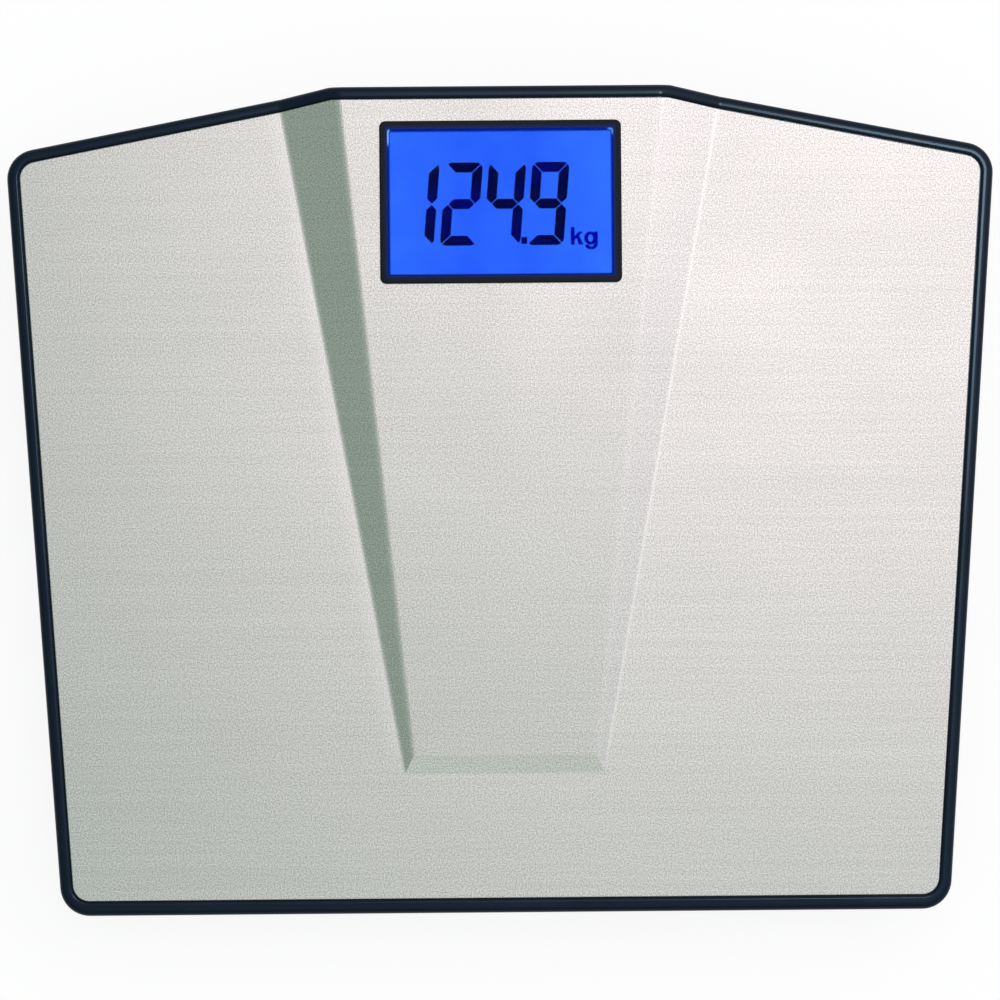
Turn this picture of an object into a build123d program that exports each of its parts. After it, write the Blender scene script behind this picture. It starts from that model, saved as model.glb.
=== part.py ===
from build123d import *
import math
import os

# Digital bathroom scale. Millimetres, +X right, +Y towards the display edge, +Z up.
# The origin is on the floor, under the middle of the rim's outline.

# Plan of the rim
depth = 331.6
back_edge_half = 68.4
shoulder_half = 199.4
front_half = 177.9
shoulder_drop = 25.5
corner_radius = 12.0
back_bend_radius = 8.0
least_corner_radius = 1.0
rim_width = 4.8
front_rim_width = 5.5
rim_proud = 0.6
rim_outer_round = 3.0
rim_inner_round = 1.0

# Platform plate and what it lies on
standing_height = 36.0
plate_thickness = 0.8
plate_gap = 0.35
plate_edge_round = 0.5
adhesive_thickness = 0.3
adhesive_margin = 3.0
deck_thickness = 2.6

# Raised panel pressed in the plate, low at its front line and highest at the back edge
panel_back_rise = 8.0
panel_front_rise = 1.1
panel_back_half = 89.5
panel_front_half = 39.8
panel_length = 275.4
panel_wall_slope = 0.335
panel_front_slope = 0.2
panel_crest_round = 9.0
panel_foot_round = 6.0

# Tray skirt and base cover
base_clearance = 8.0
base_floor = 2.4
base_wall = 4.0
band_height = 9.6
skirt_lean = 0.42
skirt_wall = 2.4
skirt_bottom = 15.0
parting_gap = 0.4
lip_thickness = 1.8
lip_height = 4.0
lip_clearance = 0.3
base_edge_round = 1.5
rib_thickness = 1.8
rib_depth = 3.0
rib_pitch_x = 50.0
rib_pitch_y = 42.0

# Display, in the plane of the raised panel
display_setback = 46.8
lens_opening_x = 90.9
lens_opening_y = 59.2
bezel_border = 3.05
bezel_proud = 1.2
bezel_overlap = 1.6
bezel_corner = 2.5
bezel_edge_round = 0.6
opening_corner = 1.2
collar_clearance = 0.25
lens_recess = 1.5
lens_thickness = 2.0
lens_clearance = 0.1
lens_ledge = 0.6
ledge_thickness = 1.0
gasket_thickness = 1.0
panel_glass_margin = 2.3
panel_glass_thickness = 2.6
guide_thickness = 3.0
guide_end_room = 3.0
guide_side_room = 4.0
frame_clearance = 0.2
frame_wall = 2.0
frame_floor = 2.0
frame_post = 3.6
frame_ear = 2.5
frame_post_inset = 11.0
frame_post_overhang = 5.8
strip_width = 2.0
strip_edge_room = 1.0
strip_length = 88.0
strip_clearance = 0.2
led_length = 2.4
led_width = 4.0
led_height = 2.0
led_spacing = 22.0
board_thickness = 1.6
board_margin = 1.2
board_standoff = 1.0
board_post = 3.0
board_post_x = 45.0
board_post_y = 20.0
chip_size = 12.0
chip_thickness = 1.5
capacitor_radius = 3.15
capacitor_height = 7.0
capacitor_x = 20.0
capacitor_y = 12.0
connector_width = 9.0
connector_depth = 6.0
connector_height = 9.0
connector_pitch = 16.0
connector_edge_room = 2.0
socket_depth = 3.0
socket_clearance = 0.15
battery_socket_drop = 2.4
battery_socket_half = 2.0

# Screws
screw_radius = 1.5
screw_head_radius = 2.8
screw_head_height = 1.8
screw_length = 9.0
screw_clearance = 0.05
screw_hole_clearance = 0.3
small_screw_radius = 1.1
small_screw_head_radius = 2.0
small_screw_head_height = 1.3
frame_screw_length = 5.5
board_screw_length = 4.0
base_post_radius = 4.0
base_boss_height = 2.6
screw_sink = 0.6

# Screw heads, in shares of the head's own radius and height
recess_span_share = 1.2
recess_slot_share = 0.3
recess_depth_share = 0.5
head_round_share = 0.33

# Places of the base cover's screws, right-hand ones, in from the front, side and back edges
front_screw_x = 88.0
front_screw_setback = 17.8
side_screw_places = [(-45.0, 21.4), (40.0, 17.0)]
back_screw_x = 100.0
back_screw_setback = 25.8

# Feet and load cells
front_foot_inset = 45.9
front_foot_setback = 43.8
back_foot_inset = 53.4
back_foot_setback = 65.8
foot_travel = 0.5
pad_radius = 21.5
pad_height = 4.0
pad_seat = 2.0
pad_clearance = 0.2
pad_edge_round = 0.8
pad_groove = 0.8
pad_ring_count = 2
foot_radius = 24.0
foot_gap = 0.6
foot_wall = 1.8
flange_width = 2.4
flange_lift = 0.4
flange_thickness = 1.8
stem_radius = 5.0
foot_web = 1.6
bracket_gap = 0.6
bracket_thickness = 2.6
bracket_size = 44.0
bracket_hole = 26.0
bracket_corner = 3.0
bracket_post_x = 32.5
bracket_post_radius = 3.75
cell_size = 34.0
cell_thickness = 2.6
cell_corner = 2.0
cell_slot = 2.0
tongue_width = 12.0
tongue_root = 12.0
tongue_tip = 6.0
button_radius = 4.0
button_height = 1.4
gauge_length = 9.0
gauge_width = 6.0
gauge_height = 2.6
gauge_corner = 1.0
gauge_place = -8.0
seat_outer = 40.0
seat_inner = 29.0
seat_notch = 5.0
lead_radius = 1.3
lead_lift = 0.2

# Battery bay, door and cells
bay_y = -5.0
battery_radius = 7.25
battery_length = 50.5
battery_nub_radius = 2.75
battery_nub = 1.0
battery_count = 4
battery_gap = 0.6
battery_side_room = 0.5
battery_edge_round = 0.6
spring_length = 5.0
spring_big_radius = 5.0
spring_small_radius = 3.4
spring_wall = 0.8
contact_thickness = 0.5
contact_width = 11.0
contact_height = 10.0
contact_tab_width = 4.0
contact_tab_rise = 3.0
slot_clearance = 0.2
bay_room = 0.4
bay_roof = 1.6
bay_ledge = 1.6
bay_skin = 1.2
door_thickness = 2.0
door_gap = 0.4
door_cell_gap = 1.4
door_corner = 0.5
barrel_radius = 1.6
trunnion_radius = 1.0
trunnion_length = 1.8
trunnion_clearance = 0.15
barrel_gap = 0.4
hinge_cheek = 4.0
latch_width = 14.0
latch_thickness = 1.4
latch_rise = 2.4
latch_gap = 0.4
notch_width = 18.0
notch_reach = 7.0
notch_depth = 1.4
notch_corner = 3.5
door_groove_width = 1.4
door_groove_depth = 0.5
door_groove_pitch = 5.0
door_groove_length = 20.0
door_groove_count = 3
door_stop_gap = 0.3
battery_lead_radius = 0.8

# Unit switch
switch_y = -60.0
switch_travel = 3.0
knob_length = 6.0
knob_width = 5.0
knob_gap = 0.4
knob_sink = 0.4
knob_groove_width = 1.0
knob_groove_pitch = 2.0
knob_groove_depth = 0.4
knob_flange = 1.6
knob_flange_thickness = 1.0
knob_flange_lift = 0.3
knob_stem = 2.4
knob_stem_rise = 3.0
switch_body_length = 22.0
switch_body_width = 9.0
switch_body_height = 6.0
switch_body_gap = 0.5
switch_support = 2.5
switch_recess_room = 3.0
switch_recess_depth = 1.0
switch_lead_radius = 1.0

# Routes of the leads in plan, right-hand ones, from cell to board
front_lead_bends = [(98.0, -130.0), (72.0, -104.0), (58.0, -66.0), (52.0, -22.0), (48.0, 22.0), (38.0, 58.0)]
back_lead_bends = [(112.0, 92.0), (88.0, 76.0), (62.0, 62.0)]
switch_lead_bends = [(-26.0, -60.0, 15.2), (-40.0, -46.0, 16.0), (-43.0, -12.0, 17.5), (-40.0, 22.0, 19.0),
                     (-28.0, 50.0, 20.0)]
battery_lead_bends = {
    1: [(22.65, 38.0, 29.4), (18.0, 55.0, 27.6)],
    -1: [(-22.65, 38.0, 29.4), (-8.0, 55.0, 27.6)],
}
socket_approach = 19.0
cradle_run_index = {"front": (2, 4), "back": (1,)}
cradle_length = 3.0
cradle_width = 6.0
run_share = 0.45

# Heights worked out from the sizes above
back_y = depth / 2
front_y = -depth / 2
plate_bottom = -plate_thickness
deck_top = plate_bottom - adhesive_thickness
deck_bottom = deck_top - deck_thickness
band_bottom = standing_height + rim_proud - band_height
base_floor_top = base_clearance + base_floor
flange_low = base_floor_top + flange_lift
flange_top = flange_low + flange_thickness
bracket_low = flange_top + foot_travel + bracket_gap
cell_low = bracket_low + bracket_thickness
cell_top = cell_low + cell_thickness
contact_z = cell_low - button_height
lead_z = cell_top + lead_lift + lead_radius
panel_tilt = math.atan((panel_back_rise - panel_front_rise) / panel_length)
display_y = back_y - display_setback
display_z = standing_height + panel_back_rise - display_setback * math.tan(panel_tilt)
tall = 4 * (standing_height + panel_back_rise)
touch = 0.01

# Display stack, measured along the panel's own normal from the plate's top
lens_top = bezel_proud - lens_recess
lens_bottom = lens_top - lens_thickness
collar_bottom = lens_bottom - ledge_thickness
glass_top = collar_bottom - gasket_thickness
guide_top = glass_top - panel_glass_thickness
frame_floor_top = guide_top - guide_thickness
frame_bottom = frame_floor_top - frame_floor
board_top = frame_bottom - board_standoff
board_bottom = board_top - board_thickness
bezel_x = lens_opening_x + 2 * bezel_border
bezel_y = lens_opening_y + 2 * bezel_border
window_x = bezel_x - 2 * bezel_overlap
window_y = bezel_y - 2 * bezel_overlap
window_corner = opening_corner + bezel_border - bezel_overlap
glass_x = window_x + 2 * panel_glass_margin
glass_y = window_y + 2 * panel_glass_margin
frame_inner_x = glass_x + 2 * frame_clearance
frame_inner_y = glass_y + 2 * frame_clearance
frame_x = frame_inner_x + 2 * frame_wall
frame_y = frame_inner_y + 2 * frame_wall
frame_post_x = frame_x / 2 + frame_post_overhang
frame_post_y = frame_y / 2 - frame_post_inset
frame_ear_top = frame_floor_top + frame_ear / 2
guide_x = glass_x - 2 * guide_end_room
guide_y = glass_y - 2 * guide_side_room
strip_y = glass_y / 2 - strip_edge_room - strip_width / 2
board_x = frame_x - 2 * board_margin
board_y = frame_y - 2 * board_margin
connector_y = -board_y / 2 + connector_edge_room + connector_depth / 2

# Battery bay in plan and height
battery_pitch = 2 * battery_radius + battery_gap
bay_hollow_x = battery_pitch * battery_count - battery_gap + 2 * battery_side_room
bay_hollow_y = battery_length + spring_length + 2 * contact_thickness
bay_mouth_x = bay_hollow_x + 2 * bay_ledge
bay_mouth_y = bay_hollow_y + 2 * bay_ledge
bay_outer_x = bay_mouth_x + 2 * bay_skin
bay_outer_y = bay_mouth_y + 2 * bay_skin
door_top = base_clearance + door_thickness
battery_z = door_top + door_cell_gap + battery_radius
bay_ceiling = battery_z + battery_radius + bay_room
bay_top = bay_ceiling + bay_roof
hinge_y = bay_y - bay_mouth_y / 2 + door_gap + barrel_radius
hinge_z = base_clearance + barrel_radius
bay_back_y = bay_y + bay_hollow_y / 2
battery_lead_z = bay_top + contact_tab_rise / 2
switch_low = base_floor_top + knob_flange_lift + knob_flange_thickness + switch_body_gap
base_post_low = base_floor_top + base_boss_height
battery_socket_z = display_z + board_bottom + connector_y * math.sin(panel_tilt) - battery_socket_drop

display_plane = Plane(
    origin=(0, display_y, display_z),
    x_dir=(1, 0, 0),
    z_dir=(0, -math.sin(panel_tilt), math.cos(panel_tilt)),
)
front_foot_x = front_half - front_foot_inset
front_foot_y = front_y + front_foot_setback
back_foot_x = shoulder_half - back_foot_inset
back_foot_y = back_y - back_foot_setback
foot_places = {
    "front_left": (-front_foot_x, front_foot_y),
    "front_right": (front_foot_x, front_foot_y),
    "back_left": (-back_foot_x, back_foot_y),
    "back_right": (back_foot_x, back_foot_y),
}
connector_order = ["back_left", "front_left", "switch", "battery", "front_right", "back_right"]


# Plan outlines and blocks made from them

def inset_corners(inset, front_inset):
    """Corners of the plan with its sides moved in by inset and its front edge by front_inset."""
    corners = [
        Vector(-front_half, front_y),
        Vector(front_half, front_y),
        Vector(shoulder_half, back_y - shoulder_drop),
        Vector(back_edge_half, back_y),
        Vector(-back_edge_half, back_y),
        Vector(-shoulder_half, back_y - shoulder_drop),
    ]
    sides = []
    for index, corner in enumerate(corners):
        along = (corners[(index + 1) % len(corners)] - corner).normalized()
        inward = Vector(-along.Y, along.X)
        step = front_inset if index == 0 else inset
        sides.append((inward, inward.dot(corner) + step))
    moved = []
    for index in range(len(corners)):
        first, first_reach = sides[index - 1]
        second, second_reach = sides[index]
        cross = first.X * second.Y - first.Y * second.X
        moved.append((
            (first_reach * second.Y - second_reach * first.Y) / cross,
            (first.X * second_reach - second.X * first_reach) / cross,
        ))
    return moved


def outline(inset=0.0, front_inset=None):
    """Face of the plan, with its round corners, moved in by inset."""
    front = inset if front_inset is None else front_inset
    corner = max(corner_radius - inset, least_corner_radius)
    bend = max(back_bend_radius - inset, least_corner_radius)
    radii = [corner, corner, corner, bend, bend, corner]
    return make_face(FilletPolyline(*inset_corners(inset, front), radius=radii, close=True))


def prism(low, high, inset=0.0, front_inset=None):
    return Pos(0, 0, low) * extrude(outline(inset, front_inset), high - low)


def lean_inset(z):
    """How far the leaning skirt stands in from the rim at a height."""
    return max(band_bottom - z, 0.0) * skirt_lean


def leaning_block(low, high, thickness=0.0):
    """Block inside the leaning skirt, its sides a wall thickness in from the skirt's face."""
    bottom = Pos(0, 0, low) * outline(lean_inset(low) + thickness)
    top = Pos(0, 0, high) * outline(lean_inset(high) + thickness)
    return loft([bottom, top], ruled=True)


def plate_form(level):
    """Block whose top follows the platform, level above the standing height."""
    top = standing_height + level
    half = shoulder_half + rim_width
    slab = Pos(0, 0, top / 2) * Box(2 * half, 2 * depth, top)
    panel_taper = (panel_back_half - panel_front_half) / panel_length
    block = Pos(0, 0, top) * Box(2 * half, 2 * depth, 4 * panel_back_rise)
    for side in (-1, 1):
        wall = Plane(
            origin=(side * panel_back_half, back_y, top),
            z_dir=(side * panel_wall_slope, -panel_wall_slope * panel_taper, 1),
        )
        block = split(block, bisect_by=wall, keep=Keep.BOTTOM)
    front = Plane(
        origin=(0, back_y - panel_length, top),
        z_dir=(0, -panel_front_slope, 1),
    )
    block = split(block, bisect_by=front, keep=Keep.BOTTOM)
    roof = Plane(
        origin=(0, back_y, top + panel_back_rise),
        z_dir=(0, -math.tan(panel_tilt), 1),
    )
    block = split(block, bisect_by=roof, keep=Keep.BOTTOM)
    crest = block.faces().sort_by(Axis.Z)[-1].edges().filter_by(lambda edge: abs(edge.center().Y) < back_y)
    form = slab + fillet(crest, panel_crest_round)
    foot = form.edges().filter_by_position(Axis.Z, top - plate_gap, top + plate_gap)
    foot = foot.filter_by_position(Axis.X, -panel_back_half, panel_back_half)
    foot = foot.filter_by_position(Axis.Y, -back_y, back_y)
    return fillet(foot, panel_foot_round)


def rounded_plate(x, y, thickness, corner, z_bottom):
    """Flat plate with round corners, centred in plan."""
    return Pos(0, 0, z_bottom) * extrude(RectangleRounded(x, y, corner), thickness)


def standing_block(x, y, low, high):
    return Pos(0, 0, (low + high) / 2) * Box(x, y, high - low)


def rod(radius, low, high):
    return Pos(0, 0, (low + high) / 2) * Cylinder(radius, high - low)


def grouped(shapes):
    """Separate solids kept side by side in one node."""
    return Compound(children=[solid for shape in shapes for solid in shape.solids()])


def edges_on_outline(shape, inset, front_inset, above):
    """Edges that follow the plan outline and lie above a height."""
    plan = outline(inset, front_inset).wires()[0]

    def follows(edge):
        spots = [edge @ share for share in (0, 0.5, 1)]
        apart = max(plan.distance_to(Vertex(spot.X, spot.Y, 0)) for spot in spots)
        return apart < touch and min(spot.Z for spot in spots) > above - touch

    return shape.edges().filter_by(follows)


def screw(radius, head_radius, head_height, length):
    """Screw with its head at the bottom, a cross recess in the head, and its shank upward."""
    head = rod(head_radius, 0, head_height)
    rim = head.edges().filter_by(GeomType.CIRCLE).sort_by(Axis.Z)[:1]
    head = fillet(rim, head_height * head_round_share)
    slot = standing_block(
        head_radius * recess_span_share,
        head_radius * recess_slot_share,
        0,
        head_height * recess_depth_share,
    )
    return head + rod(radius, head_height, head_height + length) - slot - Rot(0, 0, 90) * slot


def side_x(y):
    """Half width of the plan at a place along its leaning sides."""
    share = (y - front_y) / (depth - shoulder_drop)
    return front_half + (shoulder_half - front_half) * share


def base_screw_places():
    """Screws of the base cover, on both sides."""
    places = [(front_screw_x, front_y + front_screw_setback)]
    places += [(side_x(y) - inset, y) for y, inset in side_screw_places]
    places.append((back_screw_x, back_y - back_screw_setback))
    return [(side * x, y) for side in (-1, 1) for x, y in places]


# Platform

def window_cut(margin=0.0):
    """Through cut for the display, in the panel's plane."""
    cut = rounded_plate(
        window_x + 2 * margin,
        window_y + 2 * margin,
        tall,
        window_corner + margin,
        -tall / 2,
    )
    return display_plane * cut


def platform_plate():
    """Pressed stainless sheet with the raised panel formed in it."""
    side = rim_width + plate_gap
    front = front_rim_width + plate_gap
    body = plate_form(0.0) & prism(0, tall, side, front)
    body = fillet(edges_on_outline(body, side, front, standing_height), plate_edge_round)
    return body - plate_form(plate_bottom) - window_cut()


def plate_adhesive():
    """Double-sided sheet that bonds the plate to the deck."""
    side = rim_width + plate_gap + adhesive_margin
    front = front_rim_width + plate_gap + adhesive_margin
    body = plate_form(plate_bottom) & prism(0, tall, side, front)
    return body - plate_form(deck_top) - window_cut(adhesive_margin)


# Top tray

def tray_rim():
    """Rounded bead that stands round the plate and follows the raised panel."""
    ring = prism(band_bottom, tall) - prism(band_bottom, tall, rim_width, front_rim_width)
    ring = plate_form(rim_proud) & ring
    top = standing_height + rim_proud
    ring = fillet(edges_on_outline(ring, 0.0, 0.0, top), rim_outer_round)
    inner = edges_on_outline(ring, rim_width, front_rim_width, top)
    return fillet(inner, rim_inner_round)


def tray_hollow():
    """Space inside the skirt, under the deck."""
    space = prism(band_bottom, tall, skirt_wall) + leaning_block(skirt_bottom, band_bottom, skirt_wall)
    return space & plate_form(deck_bottom)


def tray_ribs():
    """Grid of stiffening ribs, kept clear of the battery bay, the display and their leads."""
    low = standing_height + deck_bottom - rib_depth
    high = standing_height + panel_back_rise
    ribs = []
    across = math.floor(shoulder_half / rib_pitch_x)
    along = math.floor(back_y / rib_pitch_y)
    for step in range(-across, across + 1):
        ribs.append(Pos(step * rib_pitch_x, 0) * standing_block(rib_thickness, depth, low, high))
    for step in range(-along, along + 1):
        ribs.append(Pos(0, step * rib_pitch_y) * standing_block(2 * shoulder_half, rib_thickness, low, high))
    clear_low = bay_y - bay_outer_y / 2 - rib_pitch_y / 2
    clear_x = 2 * (frame_post_x + frame_post)
    clear = standing_block(clear_x, depth, 0, tall)
    clear = Pos(0, clear_low + depth / 2) * clear
    return ribs[0].fuse(*ribs[1:]) - clear


def cell_seat(x, y):
    """Square tube that bears on a load cell, notched for its lead, and its two bracket posts."""
    seat = standing_block(seat_outer, seat_outer, cell_top, tall / 2)
    seat = seat - standing_block(seat_inner, seat_inner, cell_top, tall / 2)
    notch = standing_block(seat_outer, seat_notch, cell_top, lead_z + seat_notch / 2)
    inward = -math.copysign(seat_outer / 2, x)
    seat = seat - Pos(inward, gauge_place) * notch
    for side in (-1, 1):
        post = rod(bracket_post_radius, cell_low, tall / 2)
        hole = rod(screw_radius + screw_clearance, cell_low, cell_low + screw_length)
        seat = seat + Pos(side * bracket_post_x, 0) * (post - hole)
    return Pos(x, y) * seat


def base_post(x, y):
    """Post that takes one screw of the base cover."""
    hole_top = base_clearance + screw_sink + screw_head_height + screw_length + screw_clearance
    hole = rod(screw_radius + screw_clearance, base_post_low, hole_top)
    return Pos(x, y) * (rod(base_post_radius, base_post_low, tall / 2) - hole)


def frame_post_spots():
    return [(x, y) for x in (-frame_post_x, frame_post_x) for y in (-frame_post_y, frame_post_y)]


def display_post(x, y):
    """Post under the deck that takes one screw of the liquid crystal frame."""
    hole = rod(small_screw_radius + screw_clearance, frame_ear_top, deck_bottom)
    post = rod(frame_post, frame_ear_top, deck_top) - hole
    return display_plane * Pos(x, y) * post


def top_tray():
    """Black moulded tray: rim, deck, skirt, ribs, load cell seats and screw posts."""
    skirt = prism(band_bottom, standing_height, 0.0) + leaning_block(skirt_bottom, band_bottom)
    core = plate_form(deck_top) & prism(skirt_bottom, tall, rim_width, front_rim_width)
    skirt = skirt & plate_form(deck_top)
    body = core + (skirt & prism(0, standing_height + deck_bottom)) + tray_rim()
    body = body - tray_hollow()
    fittings = [tray_ribs()]
    fittings += [cell_seat(x, y) for x, y in foot_places.values()]
    fittings += [base_post(x, y) for x, y in base_screw_places()]
    under_deck = plate_form((deck_top + deck_bottom) / 2) & prism(0, tall, skirt_wall / 2)
    hanging = fittings[0].fuse(*fittings[1:]) & under_deck
    posts = [display_post(x, y) for x, y in frame_post_spots()]
    return body.fuse(hanging, *posts) - window_cut()


# Base cover

def bay_block(x, y, low, high):
    return Pos(0, bay_y) * standing_block(x, y, low, high)


def base_cover():
    """Black moulded floor of the scale, with its foot wells, battery bay and switch slot."""
    top = skirt_bottom - parting_gap
    body = leaning_block(base_clearance, top)
    bottom = body.faces().sort_by(Axis.Z)[0].edges()
    body = fillet(bottom, base_edge_round)
    body = body - leaning_block(base_floor_top, top, base_wall)
    lip_top = skirt_bottom + lip_height
    lip_out = skirt_wall + lip_clearance
    lip = leaning_block(base_floor_top, lip_top, lip_out)
    body = body + (lip - leaning_block(base_floor_top, lip_top, lip_out + lip_thickness))
    body = body + bay_block(bay_outer_x, bay_outer_y, base_clearance, bay_top)
    for x, y in base_screw_places():
        body = body + Pos(x, y) * rod(base_post_radius, base_floor_top, base_post_low)
    for side in (-1, 1):
        cheek = standing_block(2 * hinge_cheek, 2 * hinge_cheek, base_clearance, hinge_z + hinge_cheek)
        body = body + Pos(side * bay_mouth_x / 2, hinge_y) * cheek
        support = standing_block(switch_support, switch_body_width, base_floor_top, switch_low)
        body = body + Pos(side * (switch_body_length - switch_support) / 2, switch_y) * support
    for start, end in cradle_runs():
        body = body + lead_cradle(start, end)
    cuts = [bay_block(bay_mouth_x, bay_mouth_y, 0, door_top + door_stop_gap)]
    cuts.append(bay_block(bay_hollow_x, bay_hollow_y, 0, bay_ceiling))
    cuts += contact_tab_slots()
    cuts += [Pos(x, y) * rod(foot_radius + foot_gap, 0, base_floor_top) for x, y in foot_places.values()]
    cuts += [base_screw_hole(x, y) for x, y in base_screw_places()]
    cuts += hinge_cuts()
    cuts += latch_cuts()
    cuts += switch_cuts()
    return body.cut(*cuts)


def base_screw_hole(x, y):
    """Through hole with a sunk seat for the screw's head."""
    through = rod(screw_radius + screw_hole_clearance, 0, base_post_low)
    sunk = rod(screw_head_radius + screw_hole_clearance, 0, base_clearance + screw_sink + screw_head_height)
    return Pos(x, y) * (through + sunk)


def hinge_cuts():
    """Room for the door's barrel, and the two sockets of its trunnions."""
    groove = Rot(0, 90, 0) * Cylinder(barrel_radius + barrel_gap, bay_mouth_x)
    reach = bay_mouth_x + 2 * (trunnion_length + door_gap)
    socket = Rot(0, 90, 0) * Cylinder(trunnion_radius + trunnion_clearance, reach)
    return [Pos(0, hinge_y, hinge_z) * groove, Pos(0, hinge_y, hinge_z) * socket]


def latch_cuts():
    """Room for the door's spring tab, and the finger notch behind it."""
    back = bay_y + bay_mouth_y / 2
    room = standing_block(latch_width + 2 * latch_gap, 2 * bay_ledge, 0, door_top + latch_rise + latch_gap)
    notch = Pos(0, 0, base_clearance) * Box(notch_width, 2 * notch_reach, 2 * notch_depth)
    notch = fillet(notch.edges().filter_by(Axis.Z), notch_corner)
    return [Pos(0, back - bay_ledge) * room, Pos(0, back) * notch]


def switch_cuts():
    """Slot for the unit switch's knob, in a shallow recess."""
    slot_x = knob_length + switch_travel + 2 * knob_gap
    slot_y = knob_width + 2 * knob_gap
    slot = standing_block(slot_x, slot_y, 0, base_floor_top)
    recess_x = slot_x + 2 * switch_recess_room
    recess_y = slot_y + 2 * switch_recess_room
    recess = rounded_plate(
        recess_x, recess_y, 2 * switch_recess_depth, switch_recess_room, base_clearance - switch_recess_depth
    )
    return [Pos(0, switch_y) * slot, Pos(0, switch_y) * recess]


def base_screws():
    piece = screw(screw_radius, screw_head_radius, screw_head_height, screw_length)
    return grouped([Pos(x, y, base_clearance + screw_sink) * piece for x, y in base_screw_places()])


# Display

def display_bezel():
    """Black frame that drops through the plate's window and holds the lens on a ledge."""
    flange = rounded_plate(bezel_x, bezel_y, bezel_proud, bezel_corner, 0)
    flange = fillet(flange.faces().sort_by(Axis.Z)[-1].edges(), bezel_edge_round)
    collar = rounded_plate(
        window_x - 2 * collar_clearance,
        window_y - 2 * collar_clearance,
        -collar_bottom,
        window_corner,
        collar_bottom,
    )
    opening = rounded_plate(lens_opening_x, lens_opening_y, tall, opening_corner, lens_bottom)
    ledge_x = lens_opening_x - 2 * lens_ledge
    ledge_y = lens_opening_y - 2 * lens_ledge
    through = rounded_plate(ledge_x, ledge_y, tall, opening_corner, collar_bottom)
    return display_plane * (flange + collar - opening - through)


def display_lens():
    """Clear window that lies on the bezel's ledge."""
    lens = rounded_plate(
        lens_opening_x - 2 * lens_clearance,
        lens_opening_y - 2 * lens_clearance,
        lens_thickness,
        opening_corner,
        lens_bottom,
    )
    return display_plane * lens


def lens_gasket():
    """Foam frame between the bezel and the liquid crystal panel."""
    outer_x = window_x - 2 * collar_clearance
    outer_y = window_y - 2 * collar_clearance
    body = rounded_plate(outer_x, outer_y, gasket_thickness, window_corner, glass_top)
    inner_x = lens_opening_x - 2 * lens_ledge
    inner_y = lens_opening_y - 2 * lens_ledge
    return display_plane * (body - rounded_plate(inner_x, inner_y, tall, opening_corner, glass_top))


def lcd_panel():
    """Two glass sheets of the liquid crystal panel."""
    return display_plane * standing_block(glass_x, glass_y, guide_top, glass_top)


def backlight_guide():
    """Clear block that spreads the LEDs' light behind the panel."""
    return display_plane * standing_block(guide_x, guide_y, frame_floor_top, guide_top)


def backlight_leds():
    """Two LEDs at each end of the guide."""
    spots = []
    for side in (-1, 1):
        for place in (-led_spacing / 2, led_spacing / 2):
            led = standing_block(led_length, led_width, frame_floor_top, frame_floor_top + led_height)
            spots.append(display_plane * Pos(side * (guide_x + led_length) / 2, place) * led)
    return grouped(spots)


def board_posts():
    return [(x, y) for x in (-board_post_x, board_post_x) for y in (-board_post_y, board_post_y)]


def lcd_frame():
    """Tray that holds panel and guide under the deck, with four screw ears and the board's posts."""
    body = standing_block(frame_x, frame_y, frame_bottom, deck_bottom)
    body = body - standing_block(frame_inner_x, frame_inner_y, frame_floor_top, deck_bottom)
    ear_radius = frame_post
    for x, y in frame_post_spots():
        inside = math.copysign((frame_x - frame_wall) / 2, x)
        ear = Pos(x, y) * rod(ear_radius, frame_ear_top - frame_ear, frame_ear_top)
        arm_low = frame_ear_top - frame_ear
        arm = standing_block(abs(x - inside), 2 * ear_radius, arm_low, frame_ear_top)
        hole = rod(small_screw_radius + screw_hole_clearance, frame_bottom, deck_bottom)
        body = body + ear + Pos((x + inside) / 2, y) * arm - Pos(x, y) * hole
    for x, y in board_posts():
        post = rod(board_post, board_top, frame_floor_top)
        hole = rod(small_screw_radius + screw_clearance, board_top, frame_floor_top)
        body = body + Pos(x, y) * post - Pos(x, y) * hole
    slot_x = strip_length + 2 * strip_clearance
    slot_y = strip_width + 2 * strip_clearance
    for side in (-1, 1):
        body = body - Pos(0, side * strip_y) * standing_block(slot_x, slot_y, frame_bottom, frame_floor_top)
    return display_plane * body


def lcd_frame_screws():
    piece = screw(small_screw_radius, small_screw_head_radius, small_screw_head_height, frame_screw_length)
    seat = frame_ear_top - frame_ear - small_screw_head_height
    return grouped([display_plane * Pos(x, y, seat) * piece for x, y in frame_post_spots()])


def zebra_strips():
    """Two elastomer strips that join the panel's contacts to the board."""
    strip = standing_block(strip_length, strip_width, board_top, guide_top)
    return grouped([display_plane * Pos(0, side * strip_y) * strip for side in (-1, 1)])


# Board

def main_board():
    body = standing_block(board_x, board_y, board_bottom, board_top)
    for x, y in board_posts():
        body = body - Pos(x, y) * rod(small_screw_radius + screw_hole_clearance, board_bottom, board_top)
    return display_plane * body


def board_screws():
    piece = screw(small_screw_radius, small_screw_head_radius, small_screw_head_height, board_screw_length)
    seat = board_bottom - small_screw_head_height
    return grouped([display_plane * Pos(x, y, seat) * piece for x, y in board_posts()])


def controller_chip():
    return display_plane * standing_block(chip_size, chip_size, board_bottom - chip_thickness, board_bottom)


def board_capacitors():
    can = rod(capacitor_radius, board_bottom - capacitor_height, board_bottom)
    return grouped([display_plane * Pos(side * capacitor_x, capacitor_y) * can for side in (-1, 1)])


def connector_x(name):
    middle = (len(connector_order) - 1) / 2
    return (connector_order.index(name) - middle) * connector_pitch


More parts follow.
